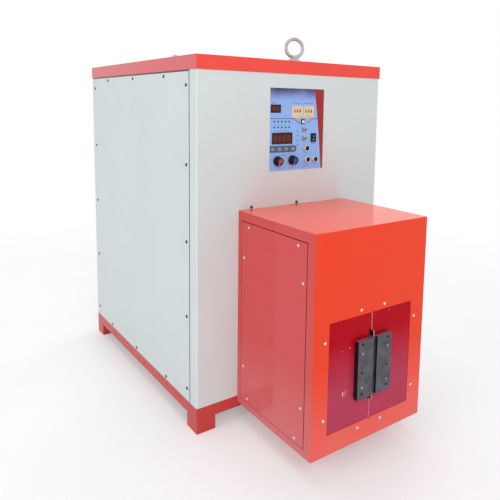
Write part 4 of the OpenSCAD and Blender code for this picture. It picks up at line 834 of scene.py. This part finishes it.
def makeLampPieces():
    lens, ring, collar, rise = (lampSizes[key] for key in ("lens", "ring", "collar", "rise"))
    rows = [[(lampSizes["x"] + lampSizes["pitch"] * i, lampSizes["z"] + lampSizes["rowPitch"] * j)
        for i in range(lampSizes["count"])] for j in (0, 1)]
    red = rows[0][-lampSizes["red"]:]
    green = rows[0][:-lampSizes["red"]] + rows[1]
    curve = [(lens * a, collar + rise * b) for a, b in arc(1, 0, 75, 15)]
    dome = [(0, 0), (lens, 0)] + curve + [(0, collar + rise)]
    rim = [(lens, 0), (ring, 0), (ring, 0.5), (ring - 0.3, 0.9), (lens, 0.9)]
    for name, profile, places, material, replaced in (
            ("lampRings", rim, rows[0] + rows[1], "glossBlack", ["indicator_lamps"]),
            ("greenLenses", dome, green, "lampGreen", ()),
            ("redLenses", dome, red, "lampRed", ())):
        lamp = turnedPiece("lamp", profile, 32, material)
        keep(scattered(name, panelSpots(places), lamp, material), replaced=replaced)


makeLampPieces()


# Key strip: a dark film with a round end, four raised keys and plain marks
strip = {"x": 60, "z": 76.06, "width": 116, "height": 23, "pitch": 29.5, "first": 11.5,
    "keyWidth": 18, "keyHeight": 12, "keyRound": 5.9, "thick": 1, "key": (0.9, 1.5), "mark": (1.45, 1.56)}


def makeStrip():
    x, z, half = strip["x"], strip["z"], strip["height"] / 2
    low, high = x - strip["width"] / 2, x + strip["width"] / 2
    film = [(low, z - half)] + shifted(arc(half, -90, 90, 15), high - half, z) + [(low, z + half)]
    bm = bmesh.new()
    prism(bm, scaled(film), 0, strip["thick"] * mm, panelZero)
    keep(fromBmesh("keyStrip", bm, "stripFilm"), replaced=["key_strip"])
    keys = [low + strip["first"] + strip["pitch"] * i for i in range(4)]
    pad = rounded(strip["keyWidth"], strip["keyHeight"], strip["keyRound"], 9)
    pads = [shifted(pad, x, z) for x in keys]
    arrows = [[(x - 3, z - 2 * way), (x + 3, z - 2 * way), (x, z + 3 * way)][::way]
        for x, way in zip(keys, (-1, 1))]
    dash = bar((keys[2] - 3.4, z), (keys[2] + 3.4, z), 1.6)
    dot = shifted(rounded(6, 6, 2.9), keys[3], z)
    printed("keyPads", pads, "stripKey", *strip["key"], slotName="strip_film")
    printed("keyMarks", arrows + [dash, dot], "stripMark", *strip["mark"], slotName="strip_film")


makeStrip()
print("displays, lamps and keys")


# Toggle switches: a hexagon nut, a washer, a threaded bush and a lever on its ball
toggles = {"upper_toggle": (150.96, 142.07), "lower_toggle": (150.96, 111.07)}
toggleSizes = {"nut": 9, "nutLow": 0.4, "nutHigh": 2.9, "threads": 8, "pitch": 0.7, "crest": 6,
    "root": 5.6, "top": 8, "pivot": 3, "tilt": -12, "ball": 4,
    "washer": [(6.2, 0), (9.6, 0), (9.6, 0.5), (6.2, 0.5)],
    "lever": [(1.7, 4.2), (1.9, 10), (2.6, 15.6), (2.65, 17), (2.3, 18.3), (1.4, 18.9), (0, 19)]}


def makeToggles():
    k = toggleSizes
    fixed = bmesh.new()
    prism(fixed, scaled(arc(k["nut"], 30, 330, 60)), k["nutLow"] * mm, k["nutHigh"] * mm)
    lathe(fixed, scaled(k["washer"]), 40)
    bush = [(4.05, -4), (4.1, k["top"])]
    for i in range(k["threads"]):
        level = k["top"] - k["pitch"] * i
        bush += [(k["root"], level), (k["crest"], level - k["pitch"] / 2)]
    lathe(fixed, scaled(bush + [(k["root"], 2)]), 40)
    piece = fromBmesh("bush", fixed, "nickel", angle=30)
    piece = scattered("toggleBushes", panelSpots(toggles.values()), piece, "nickel")
    keep(piece, replaced=["toggle_switches"])
    lever = [(0, -k["ball"])] + arc(k["ball"], -75, 60, 15) + k["lever"]
    for node, (x, z) in toggles.items():
        tilt = panelFrame(x, z, k["pivot"]) @ Matrix.Rotation(math.radians(k["tilt"]), 4, "X")
        keep(turnedPiece(node + "Lever", lever, 36, "nickel", tilt), node, [node])


makeToggles()


# Power rocker with its on and off marks
rocker = {"x": 194.4, "z": 113.08, "pivot": -2, "face": 5, "tilt": 8, "onFrom": 4, "onTo": 9,
    "offAt": -6.5, "offRing": [(1.8, -0.02), (2.7, -0.02), (2.7, 0.1), (1.8, 0.1)]}


def makeRocker():
    roundedCopy("rockerFrame", "rocker_housing", "glossBlack", 0.5, 3)
    roundedCopy("rockerPaddle", "power_rocker", "glossBlack", 0.3, 2, "power_rocker")
    half = [Matrix.Rotation(math.radians(rocker["tilt"] * way), 4, "X") for way in (1, -1)]
    face = (panelFrame(rocker["x"], rocker["z"], rocker["pivot"]) @ half[0]
        @ Matrix.Translation((0, 0, rocker["face"] * mm)))
    printed("onMark", [bar((0, rocker["onFrom"]), (0, rocker["onTo"]), 1)], "printWhite", -0.02, 0.1,
        "power_rocker", face @ half[0], "rocker_black")
    middle = face @ half[1] @ Matrix.Translation((0, rocker["offAt"] * mm, 0))
    ring = turnedPiece("offMark", rocker["offRing"], 32, "printWhite", middle)
    keep(ring, "power_rocker")


makeRocker()


# Push buttons: knurled chrome bezels and dished caps, and a small square one in its frame
buttons = {"upper_button": (161.04, 76.06), "lower_left_button": (165.6, 35.59),
    "lower_right_button": (200.4, 35.01)}
buttonShape = {
    "bezel": [(11, 0), (13.8, 0), (14, 0.3), (14, 2.4), (13.6, 2.9), (13.1, 3.3), (12.9, 4),
        (12.1, 8.2), (11.6, 9.4), (10.8, 10), (9.2, 10), (8.8, 9.6), (8.7, 1)],
    "cap": [(0, 0), (8.5, 0), (8.5, 10.8), (8.2, 11.3), (7.6, 11.5), (5, 11.1), (0, 10.8)],
    "knurls": 40,
    "knurlDepth": 0.25,
}
reset = {"x": 144.96, "z": 171.05,
    "frame": [(17, 2, 0), (17, 2, 1.4), (16, 1.6, 2), (11.6, 1, 2), (10.4, 0.8, 1.5), (10.4, 0.8, -1)]}


def makeButtons():
    def knurl(radius, height, angle):
        if 0.2 <= height / mm <= 2.5 and radius > 13.7 * mm:
            wave = 0.5 + 0.5 * math.cos(angle * buttonShape["knurls"])
            return radius - buttonShape["knurlDepth"] * mm * wave
        return radius

    bezel = turnedPiece("bezel", buttonShape["bezel"], 160, "chrome", ripple=knurl)
    piece = scattered("buttonBezels", panelSpots(buttons.values()), bezel, "chrome")
    keep(piece, replaced=["button_bezels"])
    for node, (x, z) in buttons.items():
        cap = turnedPiece(node + "Cap", buttonShape["cap"], 56, "capBlack", panelFrame(x, z))
        keep(cap, node, [node])
    ring = bmesh.new()
    levels = [(rounded(width, width, radius), level) for width, radius, level in reset["frame"]]
    frameRing(ring, panelFrame(reset["x"], reset["z"]), levels)
    keep(fromBmesh("resetFrame", ring, "glossBlack"))
    roundedCopy("resetCap", "reset_button", "resetWhite", 0.5, 3, "reset_button")


makeButtons()


# Setting switches: wheels with printed digits
switches = [(118.56, 205.49), (169.44, 205.49)]
wheelSizes = {"pitch": 12.5, "up": 2.5, "radius": 12.5, "sides": 10, "digit": 6.4, "ink": 0.04,
    "lift": 0.02, "proud": 0.5, "starts": (0, 2, 5, 0, 3, 0)}


def digitMesh(text):
    words = bpy.data.curves.new("digit", "FONT")
    words.body = text
    words.size = wheelSizes["digit"] * mm
    words.align_x, words.align_y = "CENTER", "CENTER"
    words.extrude = wheelSizes["ink"] * mm
    words.resolution_u = 3
    return realMesh(bpy.data.objects.new("digit", words))


def makeWheels():
    step = 2 * math.pi / wheelSizes["sides"]
    flat = wheelSizes["radius"] * math.cos(step / 2)
    digits = [digitMesh(str(d)) for d in range(wheelSizes["sides"])]
    for wheel, start in enumerate(wheelSizes["starts"]):
        x, z = switches[wheel // 3]
        x += (wheel % 3 - 1) * wheelSizes["pitch"]
        axis = panelFrame(x, z + wheelSizes["up"], -(wheelSizes["proud"] + flat))
        bm = bmesh.new()
        for d, digit in enumerate(digits):
            turn = Matrix.Rotation((d - start) * step, 4, "X")
            copy = digit.copy()
            copy.transform(axis @ turn @ Matrix.Translation((0, 0, (flat + wheelSizes["lift"]) * mm)))
            bm.from_mesh(copy)
            bpy.data.meshes.remove(copy)
        piece = fromBmesh(f"wheelDigits{wheel + 1}", bm, "printWhite")
        keep(piece, f"number_wheel_{wheel + 1}")
    for mesh in digits:
        bpy.data.meshes.remove(mesh)
    roundedCopy("settingBodies", "setting_switches", "tan", 0.4, 2)
    roundedCopy("settingKeys", "setting_keys", "keyTan", 0.5, 2)


makeWheels()
print("switches")


# Window in the box: the pale strip in the split, and a dark liner in the bars' slot, which is painted shade
window = {"sealHalf": 0.7, "sealProud": 0.4, "sealShort": 20, "shadowLinerFrom": 1.45, "shadowLinerTo": 1.95,
    "shadowLinerShort": 0.5}


def boxBlock(bm, first, second):
    (left, right), (near, far), (low, high) = (sorted(pair) for pair in zip(first, second))
    prism(bm, [(left, near), (right, near), (right, far), (left, far)], low, high)


def makeWindowPieces():
    low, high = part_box("insulating_panels")
    filmLow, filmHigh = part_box("insulating_sheet")
    middle = (low.x + high.x) / 2
    half, proud, short = (window[key] * mm for key in ("sealHalf", "sealProud", "sealShort"))
    seal, shadowLiner = bmesh.new(), bmesh.new()
    for bottom, top in ((filmHigh.z, high.z - short), (low.z + short, filmLow.z)):
        boxBlock(seal, (middle - half, low.y - proud, bottom), (middle + half, high.y, top))
    # painted shade: a dark liner on the film's faces in the bars' slot
    near, far, short = (window[key] * mm for key in ("shadowLinerFrom", "shadowLinerTo", "shadowLinerShort"))
    for side in (-1, 1):
        boxBlock(shadowLiner, (middle + side * near, filmLow.y + short, filmLow.z + short),
            (middle + side * far, high.y, filmHigh.z - short))
    keep(fromBmesh("splitSeal", seal, "creamFilm"))
    keep(fromBmesh("slotLiner", shadowLiner, "capBlack"))


makeWindowPieces()


# Painted shadow: dark strips set in the seams round the side panels and the box's covers
seamShadows = {"gap": 1.5, "lap": 1.2, "proud": 0.06, "near": 0.5, "far": 1.6, "sideOut": 0.15,
    "sideIn": 1, "ahead": 1.6, "behind": 0.3}


def makeSeams():
    dark, red = bmesh.new(), bmesh.new()
    gap, lap, proud, near, far, sideOut, sideIn, ahead, behind = (c * mm for c in seamShadows.values())
    for side, hand in ((-1, "left"), (1, "right")):
        low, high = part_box(hand + "_side_panel")
        face = low.x if side < 0 else high.x
        boxBlock(dark, (face + side * sideOut, low.y - ahead, low.z),
            (face - side * sideIn, low.y + behind, high.z))
        low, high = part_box(hand + "_box_cover")
        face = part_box("box_shell")[0 if side < 0 else 1].x
        for start, end in (
                ((face - side * near, low.y - gap, low.z - gap), (high.y + gap, low.z)),
                ((face - side * near, high.y, low.z), (high.y + gap, high.z)),
                ((face + side * proud, low.y - gap - lap, high.z - lap), (high.y + gap, high.z + gap)),
                ((face + side * proud, low.y - gap - lap, low.z), (low.y, high.z - lap))):
            boxBlock(red, start, (face - side * far, *end))
    keep(fromBmesh("sideSeams", dark, "seamShadowDark"))
    keep(fromBmesh("coverSeams", red, "seamShadowRed"))


# Chipped spots on the crimson boards, in millimetres from the window's middle
chips = {
    "streaks": [[(-7, -9), (-3, -4), (-5, 3), (-2, 9), (0, 4), (1, -6)], [(6, -7), (8, -6), (10, 9), (8, 8)]],
    "streaksAt": (-111, -61),
    "spots": [(-89.4, 78.7, 2), (-120.4, 75.7, 1.3), (114.6, 70.7, 1.1), (76, 162, 1.2)],
}


def makeChips():
    low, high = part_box("insulating_panels")
    place = Matrix.Translation(((low.x + high.x) / 2, low.y, (low.z + high.z) / 2)) @ toFront
    outlines = [shifted(streak, *chips["streaksAt"]) for streak in chips["streaks"]]
    for x, z, r in chips["spots"]:
        outlines.append([(x + r * math.cos(math.radians(60 * k + 9)), z + r * math.sin(math.radians(60 * k)))
            for k in range(6)])
    printed("boardChips", outlines, "chipOchre", 0.0, 0.06, "machine", place, "crimson_board")


# Rear fittings: a fluted clamping nut on the gland and barbs on the water spigots
rear = {"nutFrom": 20, "nutTo": 41.5, "flutes": 18, "fluteDepth": 0.7, "barbs": 5, "barbFrom": 13,
    "barbPitch": 6, "barb": [(9, 0), (10.3, 0.3), (10.3, 0.9), (9.4, 5), (9, 5)]}


def makeRearFittings():
    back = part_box("rear_panel")[1].y
    roundedCopy("gland", "cable_gland", "fanBlack", 0.6, 2)
    low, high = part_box("cable_gland")
    r = (high.x - low.x) / 2 / mm
    place = Matrix.Translation(((low.x + high.x) / 2, back, (low.z + high.z) / 2)) @ toBack
    start, end = rear["nutFrom"], rear["nutTo"]
    profile = [(r * 0.6, start), (r * 0.84, start), (r * 0.88, start + 0.8), (r * 0.88, end - 8),
        (r * 0.84, end - 6.5), (r * 0.76, end - 1.5), (r * 0.72, end), (r * 0.6, end)]

    def flute(radius, height, angle):
        if start + 0.5 < height / mm < end - 7 and radius > r * 0.86 * mm:
            return radius - rear["fluteDepth"] * mm * max(0, math.cos(angle * rear["flutes"]))
        return radius

    keep(turnedPiece("glandNut", profile, 144, "fanBlack", place, flute))
    roundedCopy("spigots", "water_fittings", "brass", 0.6, 2)
    low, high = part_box("water_fittings")
    hexRadius = (high.z - low.z) / 2 / math.cos(math.radians(30))
    levels = [back + (rear["barbFrom"] + rear["barbPitch"] * k) * mm for k in range(rear["barbs"])]
    places = [(Vector((x, y, (low.z + high.z) / 2)), -front, sideways)
        for x in (low.x + hexRadius, high.x - hexRadius) for y in levels]
    barb = turnedPiece("barb", rear["barb"], 40, "brass")
    keep(scattered("spigotBarbs", places, barb, "brass"))


makeSeams()
makeChips()
roundedCopy("eyebolts", "lifting_eyebolts", "forgedSteel", 1.2, 3)
makeRearFittings()
roundedCopy("guard", "fan_guard", "chrome", 0.6, 2)
print("window and fittings")


# Floor, world and lights
studio = {"floor": ((0.86, 0.86, 0.86), (0.9, 0.9, 0.9)), "room": (0.86, 0.9, 0.95), "light": 0.46,
    "fade": (0.8, 3.2)}


# One for camera, glossy and transmission rays, and nought for the rays that light the object
def cameraSees(tree):
    rays = tree.nodes.new("ShaderNodeLightPath").outputs
    seen = rays["Is Camera Ray"]
    for other in ("Is Glossy Ray", "Is Transmission Ray"):
        either = tree.nodes.new("ShaderNodeMath")
        either.operation = "MAXIMUM"
        seen = fill(either, {0: seen, 1: rays[other]})["Value"]
    return seen


def makeStage():
    floorMesh = bpy.data.meshes.new("floor")
    bm = bmesh.new()
    bmesh.ops.create_grid(bm, x_segments=1, y_segments=1, size=20)
    bm.to_mesh(floorMesh)
    bm.free()
    s = Shader("floorPaint", Roughness=0.7, Specular_IOR_Level=0.2)
    fill(s.surface, {"Base Color": s.tones(s.noise(1.5, 3), *studio["floor"])})
    length = s.tree.nodes.new("ShaderNodeVectorMath")
    length.operation = "LENGTH"
    fade = s.spread(fill(length, {0: s.place})["Value"], 0.3, 1, *studio["fade"])
    blend = fill(s.tree.nodes.new("ShaderNodeMixShader"), {
        0: s.math("MULTIPLY", fade, cameraSees(s.tree)),
        1: s.surface.outputs["BSDF"],
        2: s.add("ShaderNodeEmission")["Emission"]})
    fill(s.tree.nodes["Material Output"], {"Surface": blend["Shader"]})
    floorMesh.materials.append(s.material)
    linked("floor", floorMesh)


def makeWorld():
    world = bpy.data.worlds.new("studio")  # the room lights the object, and white is what shows
    bpy.context.scene.world = world
    world.use_nodes = True
    tree = world.node_tree
    room = fill(tree.nodes["Background"], {"Color": (*studio["room"], 1), "Strength": studio["light"]})
    white = fill(tree.nodes.new("ShaderNodeBackground"), {"Color": (1, 1, 1, 1), "Strength": 1})
    blend = fill(tree.nodes.new("ShaderNodeMixShader"),
        {0: cameraSees(tree), 1: room["Background"], 2: white["Background"]})
    fill(tree.nodes["World Output"], {"Surface": blend["Shader"]})


# Soft lamps: place, width and power, all turned to the same point
lampAim = Vector((0, 0, 0.6))
lamps = {
    "frontSoft": ((-1.2, -4.2, 3.2), 3.0, 98),
    "leftSoft": ((-4.2, -0.6, 2.6), 2.6, 55),
    "rightSoft": ((4.0, 1.5, 3.0), 2.6, 45),
    "topSoft": ((0, 0.5, 4.6), 3.2, 66),
    "rearSoft": ((0.8, 4.4, 2.6), 2.8, 36),
}


def makeLamps():
    for name, (place, size, power) in lamps.items():
        data = bpy.data.lights.new(name, "AREA")
        data.shape, data.size, data.energy = "DISK", size, power
        lamp = linked(name, data)
        lamp.location = place
        lamp.visible_glossy = False
        lamp.rotation_mode = "QUATERNION"
        lamp.rotation_quaternion = (lampAim - Vector(place)).to_track_quat("-Z", "Y")


makeStage()
makeWorld()
makeLamps()
bpy.context.scene.view_settings.view_transform = "Standard"
print("stage")
